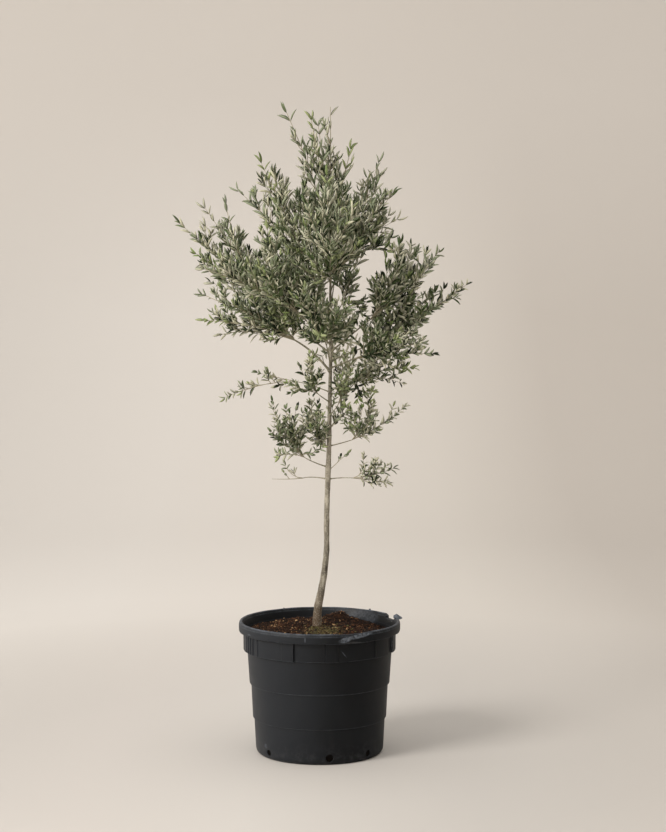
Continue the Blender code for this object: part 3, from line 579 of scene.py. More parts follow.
def copies_of(patterns, which, axes, places, shades):
    """Corners, triangles and shades of many small copies. Each pattern is (corners, triangles,
    face groups); axes holds a copy's three scaled axes, and shades its shade for each group."""
    corners, faces, wears, start = [], [], [], 0
    for kind, (pattern, triangles, groups) in enumerate(patterns):
        chosen = np.flatnonzero(which == kind)
        spread = np.einsum("vk,nkj->nvj", pattern, axes[chosen]) + places[chosen][:, None, :]
        corners.append(spread.reshape(-1, 3))
        shift = start + np.arange(len(chosen)) * len(pattern)
        faces.append((triangles[None] + shift[:, None, None]).reshape(-1, 3))
        wears.append(shades[chosen][:, groups].reshape(-1))
        start += len(chosen) * len(pattern)
    return np.concatenate(corners), np.concatenate(faces), np.concatenate(wears)


def array_piece(name, corners, faces, wears, finishes, smooth):
    """A piece from arrays of corners, triangles and the finish of each triangle."""
    mesh = bpy.data.meshes.new(name)
    mesh.vertices.add(len(corners))
    mesh.vertices.foreach_set("co", corners.astype(np.float32).ravel())
    mesh.loops.add(len(faces) * 3)
    mesh.loops.foreach_set("vertex_index", faces.astype(np.int32).ravel())
    mesh.polygons.add(len(faces))
    mesh.polygons.foreach_set("loop_start", np.arange(0, len(faces) * 3, 3, dtype=np.int32))
    for finish in finishes:
        mesh.materials.append(finish)
    mesh.polygons.foreach_set("material_index", wears.astype(np.int32))
    mesh.polygons.foreach_set("use_smooth", np.full(len(faces), smooth))
    mesh.update(calc_edges=True)
    return riding(name, mesh)


def pattern_of(bm, group=None):
    """The corners, triangles and face groups of a small shape, which is freed."""
    bmesh.ops.recalc_face_normals(bm, faces=bm.faces)
    bmesh.ops.triangulate(bm, faces=bm.faces)
    bm.verts.index_update()
    corners = np.array([vert.co[:] for vert in bm.verts])
    triangles = np.array([[vert.index for vert in face.verts] for face in bm.faces])
    groups = np.array([group(face) if group else 0 for face in bm.faces])
    bm.free()
    return corners, triangles, groups


def bark_chip(dice):
    """One chip of bark: a rough flake a unit long, closed round a few random corners."""
    bm = bmesh.new()
    for _ in range(11):
        x, y, z = (dice.uniform(-0.5, 0.5) for _ in range(3))
        bm.verts.new((x, y * (1 - abs(x)), z))
    hull = bmesh.ops.convex_hull(bm, input=bm.verts)
    bmesh.ops.delete(bm, geom=list({*hull["geom_interior"], *hull["geom_unused"]}), context="VERTS")
    return pattern_of(bm)


# The chips' finishes: name, colour, roughness and specular. The last two are mossy chips.
CHIP_FINISHES = (
    ("pine_bark_wet", "#1b120d", 0.9, 0.3), ("pine_bark_dark", "#352217", 0.9, 0.3),
    ("pine_bark_red", "#5a3a25", 0.9, 0.3), ("pine_bark_brown", "#7b5a3e", 0.9, 0.3),
    ("pine_wood_fresh", "#b4926a", 0.85, 0.3), ("moss_film", "#625c38", 0.95, 0.2),
    ("moss_film_pale", "#8a7c58", 0.95, 0.2),
)
BARE_ODDS = (34, 30, 20, 11, 3)


def strewn_chips(count):
    """Loose chips over the mix, most of them small, each lying at its own tilt."""
    dice = random.Random(7)
    patterns = [bark_chip(dice) for _ in range(6)]
    which, axes, places, shades = [], [], [], []
    while len(places) < count:
        radius, azimuth = 0.197 * math.sqrt(dice.random()), dice.uniform(0, 360)
        x, y = in_turn(azimuth).xy * radius
        if (Vector((x, y)) - TRUNK_FOOT).length < 0.018:
            continue
        long = 0.0035 + 0.0085 * dice.random() ** 2.2
        wide, thick = long * dice.uniform(0.35, 0.75), long * dice.uniform(0.14, 0.36)
        turn = Matrix.Rotation(dice.uniform(0, math.tau), 3, "Z")
        for axis in "YX":
            turn = turn @ Matrix.Rotation(dice.gauss(0, 0.45), 3, axis)
        axes.append([turn.col[0] * long, turn.col[1] * wide, turn.col[2] * thick])
        lift = thick * dice.uniform(0.1, 0.9)
        places.append((x, y, soil_height(x, y) + lift))
        mossy = math.exp(-(((x - 0.012) / 0.045) ** 2 + ((y + 0.055) / 0.06) ** 2))
        if dice.random() < mossy * 0.75:
            shades.append([dice.choice((5, 5, 6))])
        else:
            shades.append([dice.choices(range(5), BARE_ODDS)[0]])
        which.append(dice.randrange(6))
    finishes = [plain_finish(*finish) for finish in CHIP_FINISHES]
    arrays = np.array(which), np.array(axes, float), np.array(places), np.array(shades)
    return array_piece("bark_chips", *copies_of(patterns, *arrays), finishes, False)


mix = riding("potting_mix_heap", smooth_mesh("potting_mix_heap", heaped_mix(), composted_bark()))
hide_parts("potting_mix")
chips = strewn_chips(3400)
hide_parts("potting_mix")


# ---- Trunk and boughs --------------------------------------------------------------------
# Young olive wood. The trunk's foot is grey-brown and finely fissured, the bark gets
# smoother and greyer upwards, and the boughs keep the olive-grey skin of new wood. Each
# bough swells into a small collar where it leaves the trunk.

# Stations up the trunk: x, y and height in metres, radius in millimetres.
TRUNK = (
    (-0.0066, 0.015, SOIL_FOOT_HEIGHT + 0.0003, 15.0), (-0.0066, 0.015, 0.351, 13.2),
    (-0.0064, 0.015, 0.362, 12.4), (-0.0055, 0.013, 0.393, 11.8), (0.0054, 0.010, 0.446, 9.6),
    (0.0137, 0.006, 0.497, 8.5), (0.0200, 0.002, 0.560, 7.6), (0.0195, 0.000, 0.617, 7.4),
    (0.0203, 0.000, 0.683, 7.5), (0.0235, 0.000, 0.770, 7.6), (0.0270, 0.000, 0.863, 6.3),
    (0.0278, 0.000, 0.962, 5.2), (0.0303, 0.000, 1.060, 4.8), (0.0313, 0.000, 1.160, 4.3),
    (0.0297, 0.000, 1.260, 3.4), (0.0310, 0.000, 1.345, 2.6),
)

# A bough and its mass of foliage, in millimetres: the height where the bough leaves the
# trunk, its radius there, its elbow, its end, how far the side shoots reach, and where each
# leading shoot carries its last leaf. With no elbow the shoots spring from the trunk.
MASS_TABLE = (
    ("top", 1345, 2.6, None, None, 75, (
        (30, 0, 1795), (-95, -30, 1775), (90, 30, 1680), (-5, 50, 1745), (-25, -40, 1755))),
    ("top_right", 1270, 2.2, (47, 18, 1308), (65, 32, 1345), 80, (
        (170, 90, 1645), (215, -20, 1555), (230, 50, 1480), (200, -60, 1385), (190, 0, 1540))),
    ("upper_left", 1197, 2.4, (10, -17, 1248), (-10, -30, 1294), 80, (
        (-165, -90, 1635), (-235, 30, 1560), (-45, -60, 1600), (-130, -10, 1595))),
    ("left_high", 1123, 2.6, (-11, -55, 1169), (-56, -95, 1212), 80, (
        (-320, -200, 1340), (-165, -240, 1350), (-145, -140, 1455))),
    ("left_outer", 1100, 2.8, (-8, 30, 1126), (-55, 55, 1169), 75, (
        (-405, 110, 1470), (-325, 200, 1300), (-355, 30, 1385), (-330, 80, 1515), (-335, 80, 1340))),
    ("left_low", 1049, 3.6, (-13, 0, 1106), (-68, -4, 1137), 70, (
        (-340, 40, 1270), (-330, -30, 1195), (-250, -100, 1245), (-295, 50, 1150), (-265, -30, 1525),
        (-95, -90, 1200), (-25, -20, 1175))),
    ("centre_left", 1169, 2.0, (-1, -14, 1196), (-26, -28, 1219), 75, (
        (-115, -70, 1345), (-95, -110, 1205), (-5, -100, 1310))),
    ("front_high", 1240, 2.2, (31, -54, 1260), (30, -97, 1286), 80, (
        (-40, -230, 1520), (90, -210, 1510), (30, -290, 1415), (20, -130, 1600))),
    ("front_low", 1068, 2.4, (25, -36, 1098), (20, -72, 1123), 80, (
        (-60, -270, 1275), (80, -250, 1230), (0, -240, 1160))),
    ("back_high", 1222, 2.2, (36, 48, 1262), (41, 92, 1296), 80, (
        (-40, 240, 1570), (120, 220, 1565), (45, 290, 1485), (55, 130, 1625))),
    ("back_left", 1148, 2.6, (7, 55, 1179), (-19, 104, 1213), 95, (
        (-185, 270, 1425), (-250, 290, 1310), (-130, 260, 1240))),
    ("back_low", 1060, 2.4, (34, 48, 1107), (33, 89, 1124), 85, (
        (-35, 280, 1240), (90, 260, 1110), (30, 300, 1155))),
    ("right_up", 1104, 2.8, (84, -22, 1150), (139, -39, 1195), 70, (
        (225, -110, 1420), (340, 20, 1390), (265, 90, 1410), (320, -20, 1350))),
    ("right_far", 1077, 2.6, (67, 17, 1097), (111, 30, 1111), 70, (
        (430, 30, 1305), (305, 190, 1190), (325, -80, 1235), (270, -50, 1295))),
    ("right_low", 1060, 2.4, (59, -39, 1074), (90, -71, 1087), 75, (
        (320, -120, 1105), (215, -220, 1150), (300, -20, 1135))),
    ("right_inner", 994, 2.0, (48, 21, 1008), (67, 37, 1020), 65, (
        (275, 80, 1060), (240, -20, 1020), (110, -40, 965))),
    ("right_mid", 846, 1.8, (62, 0, 854), (89, 0, 863), 55, (
        (245, 10, 960), (145, 50, 920), (70, -50, 975), (70, 30, 905), (145, 10, 1000))),
    ("low_right", 755, 1.6, (62, -5, 761), (92, -10, 759), 45, (
        (215, -20, 790), (125, -10, 830), (205, 20, 740))),
    ("side_shoot", 777, 1.3, None, None, 20, (
        (85, -10, 835),)),
    ("low_left", 755, 1.6, (-21, 0, 764), (-45, 0, 758), 20, (
        (-145, 0, 755), (-105, -10, 800))),
    ("lower_left", 788, 1.8, (-15, -10, 800), (-42, -15, 817), 60, (
        (-135, -30, 985), (-140, -70, 900), (-125, 30, 815), (-65, 20, 965), (-15, -30, 830),
        (-55, 40, 885), (-20, 10, 940), (-95, -50, 965))),
    ("lower_back", 863, 1.6, (8, 24, 869), (-6, 42, 884), 60, (
        (-25, 100, 970), (-55, 80, 895), (-10, 70, 900))),
    ("arch", 994, 1.6, (-26, 10, 1016), (-59, 15, 1021), 28, (
        (-275, 30, 975), (-185, 10, 1050), (-225, -20, 995))),
    ("inner_left", 967, 1.8, (9, -24, 980), (-5, -42, 993), 55, (
        (-60, -90, 1080), (-90, -80, 1000), (-15, -50, 1115), (-5, -60, 1010))),
    ("inner_right", 1185, 2.0, (47, 12, 1206), (60, 16, 1232), 55, (
        (110, 50, 1390), (90, -50, 1325), (130, -30, 1215), (105, 50, 1185), (50, -50, 1315))),
    ("lower_right", 930, 1.6, (42, -4, 944), (52, -6, 962), 55, (
        (70, -60, 1025), (115, 60, 1035), (50, 50, 1100), (90, -40, 1140))),
    ("twigs_left", 838, 1.3, None, None, 55, (
        (-35, 0, 870), (-25, -30, 910), (-10, 30, 975), (0, -50, 945))),
    ("twigs_right", 893, 1.3, None, None, 50, (
        (80, -20, 950), (75, 20, 1000))),
)

Mass = namedtuple("Mass", "name fork girth elbow end reach tips")


def metres(value):
    """Millimetres to metres, for a number, a point, a row of points or nothing."""
    if isinstance(value, tuple):
        return tuple(metres(part) for part in value)
    return value / 1000 if value else value


MASSES = [Mass(row[0], *metres(row[1:])) for row in MASS_TABLE]

BOUGH_TAPER = 0.62
BOUGH_PIECES = 26


def trunk_at(height):
    """The middle of the trunk and its radius in metres at a height."""
    xs, ys, heights, radii = zip(*TRUNK)
    middle = [float(np.interp(height, heights, values)) for values in (xs, ys)]
    return Vector((*middle, height)), float(np.interp(height, heights, radii)) * 0.001


def bend(start, pull, end, pieces):
    """Points along a curve from start to end that sets off towards the pull."""
    parts = [index / pieces for index in range(pieces + 1)]
    return [start * (1 - part) ** 2 + pull * 2 * part * (1 - part) + end * part**2 for part in parts]


def bough_path(mass, pieces):
    """The bough of a mass, from the trunk's middle to its end."""
    start, _ = trunk_at(mass.fork)
    return bend(start, Vector(mass.elbow), Vector(mass.end), pieces)


def rod(sides, lengths):
    """An upright rod a unit high and one in radius, cut into lengths."""
    bm = bmesh.new()
    bmesh.ops.create_cone(bm, cap_ends=True, segments=sides, radius1=1, radius2=1, depth=1)
    upright = [edge for edge in bm.edges if abs(edge.verts[0].co.z - edge.verts[1].co.z) > 0.5]
    bmesh.ops.subdivide_edges(bm, edges=upright, cuts=lengths - 1)
    return bm


def rings_along(places, headings, first):
    """For each place on a path, the two directions across it, turned as little as can be."""
    rings, across = [], first.orthogonal()
    for place, heading in zip(places, headings):
        across = (across - heading * across.dot(heading)).normalized()
        rings.append((place, across, heading.cross(across)))
    return rings


def barked_limb(path, radii, sides, rough):
    """A round limb: a rod cut into a ring for each point of the path, laid along it, and
    given fissures, pits and a slow swelling in proportion to its girth."""
    last = len(path) - 1
    bm = rod(sides, last)
    headings = [path[min(at + 1, last)] - path[max(at - 1, 0)] for at in range(last + 1)]
    rings = rings_along(path, [heading.normalized() for heading in headings], path[1] - path[0])
    for vert in bm.verts:
        ring = round((vert.co.z + 0.5) * last)
        place, across, around = rings[ring]
        radius = radii[ring]
        out = across * vert.co.x + around * vert.co.y
        skin = place + out * radius
        fissure = noise.noise(Vector((skin.x * 260, skin.y * 260, skin.z * 45)))
        pit = noise.noise(skin * 420)
        swell = noise.noise(Vector((skin.x * 40, skin.y * 40, skin.z * 16)))
        vert.co = skin + out * radius * (rough * (0.11 * fissure + 0.05 * pit) + 0.05 * swell)
    return bm


def olive_bark(name, dark, middle, pale, grain):
    """Olive bark: dry and matt, streaked along the limb in flakes a few millimetres wide."""
    made, tree, shader = finish_named(name, roughness=0.88, specular=0.3)
    place = node(tree, "ShaderNodeTexCoord", give="Object")
    drawn = node(tree, "ShaderNodeMapping", Vector=place, Scale=(1.0, 1.0, 0.22))
    streaks = node(tree, "ShaderNodeTexNoise", Vector=drawn, Scale=grain, Detail=6.0, Roughness=0.65)
    patches = node(tree, "ShaderNodeTexNoise", Vector=place, Scale=26.0, Detail=3.0)
    mixed = node(tree, "ShaderNodeMix", {"data_type": "FLOAT"}, i0=0.42, i2=streaks, i3=patches)
    shades = ((0.36, dark), (0.50, middle), (0.64, pale))
    shade = node(tree, "ShaderNodeValToRGB", {"stops": shades}, Fac=mixed)
    # Specks of pale lichen, and a brown stain of soil on the lowest few centimetres.
    specks = node(tree, "ShaderNodeTexNoise", Vector=place, Scale=330.0, Detail=3.0, Roughness=0.6)
    lichen = bands(tree, specks, (0.52, 0.0), (0.64, 0.6))
    specked = node(tree, "ShaderNodeMix", {"data_type": "RGBA"}, 2, i0=lichen, i6=shade, i7="#c4c1b2")
    height = node(tree, "ShaderNodeSeparateXYZ", give="Z", Vector=place)
    soiled = product(tree, bands(tree, height, (0.345, 1.0), (0.385, 0.75), (0.460, 0.0)),
                     bands(tree, specks, (0.30, 1.0), (0.66, 0.35)))
    stained = node(tree, "ShaderNodeMix", {"data_type": "RGBA"}, 2, i0=soiled, i6=specked, i7="#583f29")
    tree.links.new(stained, shader.inputs["Base Color"])
    bump = node(tree, "ShaderNodeBump", Strength=0.6, Distance=0.0008, Height=streaks)
    tree.links.new(bump, shader.inputs["Normal"])
    return made


def smoothed_trunk():
    """Points and radii up the trunk every 3.5 mm, its bends eased."""
    low, high = TRUNK[0][2], TRUNK[-1][2]
    path, radii = [], []
    for height in np.linspace(low, high, 287):
        ease = min(0.014, height - low, high - height)
        near = [trunk_at(height + shift * ease) for shift in (-1, -0.5, 0, 0.5, 1)]
        path.append(sum((place for place, _ in near), Vector()) / 5)
        path[-1].z = height
        radii.append(sum(radius for _, radius in near) / 5)
    return path, radii


path, radii = smoothed_trunk()
stem = barked_limb(path, radii, 22, 1.0)
for vert in stem.verts:
    vert.co.z = max(vert.co.z, TRUNK[0][2])
old_bark = olive_bark("grey_olive_bark", "#4c463d", "#7f796c", "#b3ad9e", 120.0)
trunk = riding("trunk_bark", smooth_mesh("trunk_bark", stem, old_bark))
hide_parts("trunk")

boughs = bmesh.new()
for mass in MASSES:
    if mass.elbow:
        path = bough_path(mass, BOUGH_PIECES)
        radii = []
        for index, place in enumerate(path):
            part = index / BOUGH_PIECES
            out = (place - path[0]).length - trunk_at(mass.fork)[1]
            collar = 1 + 0.55 * math.exp(-max(0.0, out) / 0.004)
            radii.append(mass.girth * (1 - (1 - BOUGH_TAPER) * part) * collar)
        joined(boughs, barked_limb(path, radii, 10, 0.6))
young_bark = olive_bark("young_olive_bark", "#5f5a48", "#827d68", "#a5a18c", 200.0)
limbs = riding("bough_bark", smooth_mesh("bough_bark", boughs, young_bark))
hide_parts(*["bough_" + mass.name for mass in MASSES if mass.elbow])


# ---- Shoots and leaves -------------------------------------------------------------------
# The olive's green shoots and its narrow leathery leaves, in crossed pairs, grey-green on
# the face and silvery beneath. Each mass grows by the same rule as its solid, from the
# bough's tip: leading shoots, side shoots that turn up to the light, and finer ones.

STEM_LENGTH = 0.006
GOLDEN_ANGLE = math.radians(137.5)
SIDE_SPACING = 0.030
FINE_SPACING = 0.022


def between(value, *stops):
    """What a value comes to on straight lines through (value, result) stops."""
    return float(np.interp(value, *zip(*stops)))


def leaf_length(height):
    """How long a full-grown leaf is at a height: the low shoots carry smaller leaves."""
    return between(height, (0.75, 0.022), (1.00, 0.025), (1.25, 0.031), (1.50, 0.039), (1.80, 0.042))


def along(path, part):
    """The point and direction at a part of a path's length."""
    lengths = [(b - a).length for a, b in zip(path, path[1:])]
    left = part * sum(lengths)
    for start, end, length in zip(path, path[1:], lengths):
        if left <= length:
            return start.lerp(end, left / length), (end - start).normalized()
        left -= length
    return path[-1], (path[-1] - path[-2]).normalized()


def run_of(path):
    """The length of a path."""
    return sum((b - a).length for a, b in zip(path, path[1:]))


def root_of(mass):
    """Where a mass starts, and which way its stem sets off."""
    if mass.elbow:
        path = bough_path(mass, 4)
        return path[-1], (path[-1] - path[-2]).normalized()
    start, _ = trunk_at(mass.fork)
    if mass.fork >= TRUNK[-1][2]:
        return start, UP
    return start, (Vector(mass.tips[0]) - start).normalized()


def leaders(mass):
    """The leading shoots of a mass, which part from one short stem and bend to its tips."""
    root, heading = root_of(mass)
    fork = root + heading * STEM_LENGTH
    for tip in mass.tips:
        reach = Vector(tip) - fork
        reach -= reach.normalized() * leaf_length(tip[2]) * 0.65
        pull = fork + (heading * 0.55 + reach.normalized() * 0.45).normalized() * reach.length * 0.5
        yield [root] + bend(fork, pull, fork + reach, 12)


def sideways(tangent, turn):
    """A direction square to a tangent, turned about it."""
    outwards = tangent.orthogonal().normalized()
    outwards.rotate(Matrix.Rotation(turn, 3, tangent))
    return outwards


def side_shoots(path, spacing, reach, dice):
    """Side shoots along a shoot, turning up towards the light."""
    count = max(1, int(run_of(path) / spacing))
    swing = dice.uniform(0.0, math.tau)
    for index in range(count):
        part = 0.05 + 0.75 * (index + dice.uniform(0.3, 0.7)) / count
        place, tangent = along(path, part)
        outwards = sideways(tangent, swing + index * GOLDEN_ANGLE)
        low = max(0.0, 1 - part / 0.4)
        heading = tangent * (0.85 - 0.5 * low) + outwards * (0.55 + 0.3 * low)
        heading = (heading + UP * (0.60 - 0.35 * low)).normalized()
        long = reach * (1.35 - 0.85 * part) * dice.uniform(0.6, 1.15)
        end = place + heading * long
        yield bend(place, place.lerp(end, 0.5) - UP * long * 0.10 + outwards * long * 0.08, end, 5)


def shoots_of(mass, dice):
    """Every shoot of a mass: its path, its radius at the foot and its order."""
    thick = mass.girth * (BOUGH_TAPER if mass.elbow else 0.9)
    sparse = mass.reach < 0.03
    for leader in leaders(mass):
        yield leader, max(thick, 0.0013), 0
        height = leader[-1].z
        roomy = between(height, (1.00, 1.25), (1.10, 1.05), (1.25, 0.95), (1.62, 1.05), (1.68, 1.6))
        roomy = 1.5 if sparse else roomy
        for side in side_shoots(leader, SIDE_SPACING * roomy, mass.reach, dice):
            yield side, 0.0012, 1
            if run_of(side) > 0.045:
                for fine in side_shoots(side, FINE_SPACING * roomy, run_of(side) * 0.50, dice):
                    yield fine, 0.0007, 2


def leaves_on(path, bare, order, dice):
    """Leaves along a shoot in crossed pairs, and two at its tip: place, heading, face, length."""
    full = leaf_length(path[-1].z) * (1.12, 1.0, 0.86)[order]
    height = path[-1].z
    spacing = full * between(height, (0.85, 0.62), (1.10, 0.64), (1.35, 0.69), (1.55, 0.82))
    spacing *= 1.0 if order else between(height, (1.1, 0.75), (1.5, 0.85))
    spacing *= between(abs(path[-1].x), (0.08, 1.10), (0.30, 0.86))
    low = between(height, (0.9, 1.0), (1.35, 0.0))
    pairs = max(1, round(run_of(path) * (1 - bare) / spacing))
    turn = dice.uniform(0.0, math.tau)
    for index in range(pairs):
        part = bare + (0.985 - bare) * ((index + 0.5) / pairs) ** 1.05
        place, tangent = along(path, part)
        size = full * (1.08 - 0.45 * max(0.0, part - 0.45)) * dice.uniform(0.66, 1.08)
        for half in (0.0, math.pi):
            if dice.random() < 0.06:
                continue
            outwards = sideways(tangent, turn + index * math.pi / 2 + half + dice.gauss(0, 0.25))
            spread = dice.uniform(0.36, 0.74) + 0.50 * low
            spread += (0.20 if order else 0.55) * max(0.0, part - 0.6)
            heading = (tangent * 0.85 + outwards * spread + UP * 0.20).normalized()
            side = (tangent + outwards * dice.gauss(0, 0.2)).normalized()
            yield place, heading, side, size * dice.uniform(0.9, 1.1)
    place, tangent = along(path, 1.0)
    side = sideways(tangent, turn)
    for way, open_out, least, most in ((1, 0.5, 0.6, 0.85), (-1, 0.6, 0.5, 0.8)):
        heading = (tangent + side * (way * dice.uniform(0.2, open_out))).normalized()
        yield place, heading, side, full * dice.uniform(least, most)


def leaf_pattern(droop, fold):
    """An olive leaf a unit long and a unit wide, along +Z with its upper face towards +Y: a
    strip of two by four drawn to a point at each end, doubled underneath and closed."""
    bm = bmesh.new()
    bmesh.ops.create_grid(bm, x_segments=2, y_segments=4, size=0.5)
    widths = {-2: 0.0, -1: 0.84, 0: 1.0, 1: 0.78, 2: 0.0}
    under = bmesh.ops.duplicate(bm, geom=bm.faces[:])["geom"]
    lower = {item for item in under if isinstance(item, bmesh.types.BMVert)}
    bmesh.ops.reverse_faces(bm, faces=[item for item in under if isinstance(item, bmesh.types.BMFace)])
    for vert in bm.verts:
        step = round(vert.co.y * 4)
        side = round(vert.co.x * 2)
        reach = vert.co.y + 0.5
        sunk = 0.035 if (vert in lower and side == 0 and abs(step) < 2) else 0.0
        lift = abs(side) * fold * widths[step] - droop * reach**2 - sunk
        vert.co = (side * 0.5 * widths[step], lift, reach)
    bmesh.ops.remove_doubles(bm, verts=bm.verts, dist=0.0001)
    bmesh.ops.recalc_face_normals(bm, faces=bm.faces)
    bmesh.ops.triangulate(bm, faces=bm.faces)
    bm.normal_update()
    return pattern_of(bm, lambda face: 0 if face.normal.y > 0 else 1)


def twig_pattern():
    """A five-sided rod of four lengths, from z 0 to 1, to be bent along a shoot."""
    bm = rod(5, 4)
    bmesh.ops.translate(bm, verts=bm.verts, vec=(0, 0, 0.5))
    return pattern_of(bm)


# Face shades, then underside shades, then the shades of new growth at the tips.
LEAF_SHADES = (
    ("olive_leaf_deep", "#313d26"), ("olive_leaf_green", "#53633d"),
    ("olive_leaf_grey", "#7e8a69"), ("olive_leaf_light", "#a2ad80"),
    ("olive_underside_grey", "#98a085"), ("olive_underside_silver", "#c8c8b2"),
    ("olive_underside_pale", "#d3d2b8"), ("olive_leaf_new", "#889a62"),
    ("olive_leaf_tip", "#a6b180"),
)
# How common each face shade is near the trunk and far from it, and each underside shade. Leaves near
# the trunk are dealt lighter shades, as painted light where the crown's own shade falls, and those far
# out darker ones, as painted shade.
INNER_FACE_ODDS = np.array((17, 30, 28, 25))
OUTER_FACE_ODDS = np.array((54, 32, 10, 4))
UNDER_ODDS = (44, 38, 18)
# How many of the shoots of each order end in new growth.
YOUNG_ODDS = (0.35, 0.18, 0.1)
# The low left shoot has died back: it is a bare stick beyond this x.
DEAD_END = -0.108
# The droop and the fold of each pattern of leaf, as parts of its length.
LEAF_FORMS = ((0.05, 0.10), (0.14, 0.16), (-0.04, 0.14), (0.24, 0.08))


def grown_crown():
    """Every leaf and shoot of the crown, in arrays by mass."""
    leaves = {key: [] for key in ("place", "axes", "shade", "which", "mass")}
    twigs = []
    for seed, mass in enumerate(MASSES):
        dice = random.Random(100 + seed)
        for path, thick, order in shoots_of(mass, dice):
            twigs.append((path, thick, order))
            # Painted light and shade: shoots near the trunk draw lighter face shades, those far out
            # darker ones.
            inner = between(abs(path[-1].x), (0.10, 1.0), (0.28, 0.0))
            odds = INNER_FACE_ODDS * inner + OUTER_FACE_ODDS * (1 - inner)
            face = dice.choices(range(4), odds)[0]
            under = 4 + dice.choices(range(3), UNDER_ODDS)[0]
            young = dice.random() < YOUNG_ODDS[order]
            bare = 0.10 if order else 0.72 if mass.reach < 0.03 else 0.14
            found = list(leaves_on(path, bare, order, dice))
            if mass.name == "low_left":
                found = [leaf for leaf in found if leaf[0].x >= DEAD_END]
            for index, (place, heading, side, length) in enumerate(found):
                width = length * between(place.z, (1.05, 0.36), (1.35, 0.245), (1.60, 0.18))
                width *= dice.uniform(0.85, 1.10)
                facing = (side - heading * side.dot(heading)).normalized()
                across = facing.cross(heading)
                leaves["place"].append(place)
                leaves["axes"].append((across * width, facing * length, heading * length))
                new = young and index > len(found) * 0.6
                leaves["shade"].append((7 + (index % 3 == 0), 8) if new else (face, under))
                leaves["which"].append(dice.randrange(4))
                leaves["mass"].append(seed)
    arrays = {key: np.array([np.array(item) for item in value]) for key, value in leaves.items()}
    return arrays, twigs


def clear_of_limbs(leaves):
    """Which leaves stay off the trunk and the boughs for their whole length."""
    starts, runs, radii = [], [], []
    stems = [([Vector(station[:3]) for station in TRUNK], [station[3] * 0.001 for station in TRUNK])]
    stems += [(bough_path(mass, 8), [mass.girth] * 8) for mass in MASSES if mass.elbow]
    for points, girths in stems:
        for start, end, girth in zip(points, points[1:], girths):
            starts.append(start)
            runs.append(end - start)
            radii.append(girth)
    starts, runs, radii = np.array(starts), np.array(runs), np.array(radii)
    good = np.ones(len(leaves["place"]), bool)
    for part in (0.3, 0.6, 1.0):
        spots = leaves["place"] + leaves["axes"][:, 2] * part
        gaps = spots[:, None] - starts[None]
        share = np.clip((gaps * runs).sum(2) / (runs**2).sum(1), 0, 1)
        good &= (np.linalg.norm(gaps - share[..., None] * runs, axis=2) > radii + 0.001).all(1)
    return good


def within(leaves, box, margin=0.004):
    """Which leaves have their tips inside a box."""
    tips = leaves["place"] + leaves["axes"][:, 2]
    low, high = np.array(box[0]) + margin, np.array(box[1]) - margin
    return ((tips > low) & (tips < high)).all(1)


def bent_twigs(twigs):
    """Corners, triangles and shades of all the shoots, each a tapering rod along its path."""
    pattern, triangles, _ = twig_pattern()
    corners, faces, wears = [], [], []
    for count, (path, thick, order) in enumerate(twigs):
        places, headings = zip(*[along(path, part) for part in (0, 0.25, 0.5, 0.75, 1)])
        rings = rings_along(places, headings, headings[0])
        slim = max(0.0005, thick * 0.35)
        for x, y, z in pattern:
            place, right, back = rings[round(z * 4)]
            corners.append(place + (right * x + back * y) * (thick + (slim - thick) * z))
        faces.append(triangles + count * len(pattern))
        wears.append(np.full(len(triangles), order // 2))
    return np.array(corners), np.concatenate(faces), np.concatenate(wears)


leaves, twigs = grown_crown()
kept = clear_of_limbs(leaves) & within(leaves, cad_box)
leaf_patterns = [leaf_pattern(*form) for form in LEAF_FORMS]
leaf_finishes = [plain_finish(name, shade, 0.5, 0.25) for name, shade in LEAF_SHADES]
roots = [Vector(mass.end or mass.tips[0]).z for mass in MASSES]
# The leaves go in four tiers, by the height from which each mass grows.
TIERS = (
    ("leaves_low", 0.0, 1.10), ("leaves_middle", 1.10, 1.20),
    ("leaves_upper", 1.20, 1.26), ("leaves_top", 1.26, 9.0),
)
for name, low, high in TIERS:
    carried = [seed for seed, height in enumerate(roots) if low <= height < high]
    chosen = np.flatnonzero(kept & np.isin(leaves["mass"], carried))
    arrays = [leaves[key][chosen] for key in ("which", "axes", "place", "shade")]
    piece = array_piece(name, *copies_of(leaf_patterns, *arrays), leaf_finishes, True)
    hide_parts(*["foliage_" + MASSES[seed].name for seed in carried])
shoot_finishes = [
    plain_finish("olive_shoot_wood", "#a39c86", 0.8, 0.3),
    plain_finish("olive_shoot_green", "#7f8a5c", 0.6, 0.4),
]
shoots = array_piece("green_shoots", *bent_twigs(twigs), shoot_finishes, True)
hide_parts(*["foliage_" + mass.name for mass in MASSES])


# ---- Studio ------------------------------------------------------------------------------
# A pale seamless sweep that turns up into its wall all the way round, lit by one large soft
# lamp from the front left and by the even light of a white room.

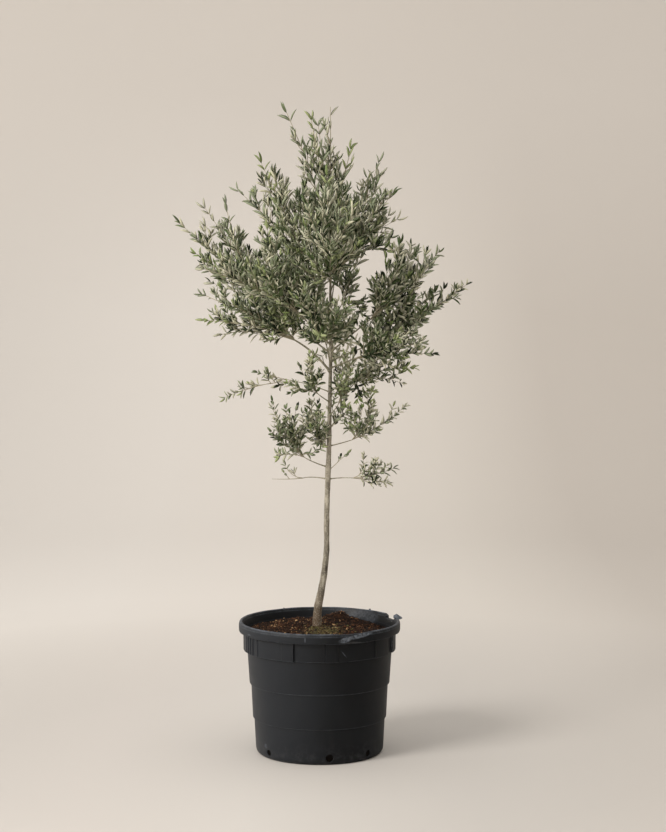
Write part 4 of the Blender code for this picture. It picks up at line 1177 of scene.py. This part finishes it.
def paper_with_painted_light():
    """Matt paper with painted light: a painted pool of lamp light on the wall behind the pot, and
    painted shade away from the lamp, on the floor near the pot and high up."""
    made, tree, shader = finish_named("paper_with_painted_light", roughness=0.9, specular=0.2)
    place = node(tree, "ShaderNodeTexCoord", give="Object")
    x = node(tree, "ShaderNodeSeparateXYZ", give="X", Vector=place)
    across = node(tree, "ShaderNodeMapRange", Value=x, From_Min=-2.5, From_Max=2.5)
    # Painted shade that darkens to the right, away from the lamp; a painted pool of lamp light on the
    # wall behind the pot; and painted shade on the floor near the pot.
    plain, painted_light_pool, front = [node(tree, "ShaderNodeValToRGB", {"stops": stops}, Fac=across) for stops in (
        ((0.0, "#dfdad4"), (1.0, "#d4cfc9")),
        ((0.10, "#dedad5"), (0.32, "#e8e4df"), (0.45, "#e9e4de"), (0.62, "#e0dbd4"), (0.76, "#cfc9c2"),
         (0.9, "#cdc7c0")),
        ((0.28, "#cac6c1"), (0.38, "#d4cfca"), (0.46, "#d8d4cf"), (0.58, "#cdc9c4"), (0.72, "#cbc6c0")),
    )]
    # Where the painted pool of light and the painted shade near the pot lie, by distance from the pot's
    # foot.
    away = node(tree, "ShaderNodeVectorMath", {"operation": "LENGTH"}, "Value", i0=place)
    behind = bands(tree, away, (0.8, 0.0), (2.6, 1.0), (7.2, 1.0), (8.6, 0.1))
    lit = node(tree, "ShaderNodeMix", {"data_type": "RGBA"}, 2, i0=behind, i6=plain, i7=painted_light_pool)
    painted_front_shade_mask = bands(tree, away, (0.9, 1.0), (2.2, 0.0))
    shade = node(tree, "ShaderNodeMix", {"data_type": "RGBA"}, 2, i0=painted_front_shade_mask, i6=lit, i7=front)
    tree.links.new(shade, shader.inputs["Base Color"])
    return made


def sweep():
    """The floor, and the wall that it rises into."""
    flat, bend_radius, top = 4.4, 4.2, 8.0
    profile = [(radius, 0.0) for radius in (0.0, 1.2, 3.0, flat)]
    for turn in np.linspace(0.09, math.pi / 2, 18):
        out, up = bend_radius * math.sin(turn), bend_radius * math.cos(turn)
        profile.append((flat + out, bend_radius - up))
    bm = revolved(profile + [(flat + bend_radius, top)], 96, 0.0001)
    bmesh.ops.recalc_face_normals(bm, faces=bm.faces)
    made = linked("studio_sweep", smooth_mesh("studio_sweep", bm, paper_with_painted_light()))


def lamp(name, place, aim, size, watts, hex_colour):
    """A square soft lamp at a place, turned towards its aim."""
    light = bpy.data.lights.new(name, "AREA")
    light.size = size
    light.energy = watts
    light.color = linear(hex_colour)[:3]
    made = linked(name, light)
    made.location = place
    made.rotation_euler = (Vector(aim) - Vector(place)).to_track_quat("-Z", "Y").to_euler()
    made.visible_camera = False


sweep()
lamp("key_lamp", (-5.6, -4.6, 5.0), (0.0, 0.0, 0.9), 3.0, 450.0, "#fffaf4")
room = bpy.data.worlds.new("white_room")
room.use_nodes = True
room.node_tree.nodes["Background"].inputs["Color"].default_value = linear("#fffdfa")
room.node_tree.nodes["Background"].inputs["Strength"].default_value = 0.875
bpy.context.scene.world = room
bpy.context.scene.view_settings.view_transform = "Standard"
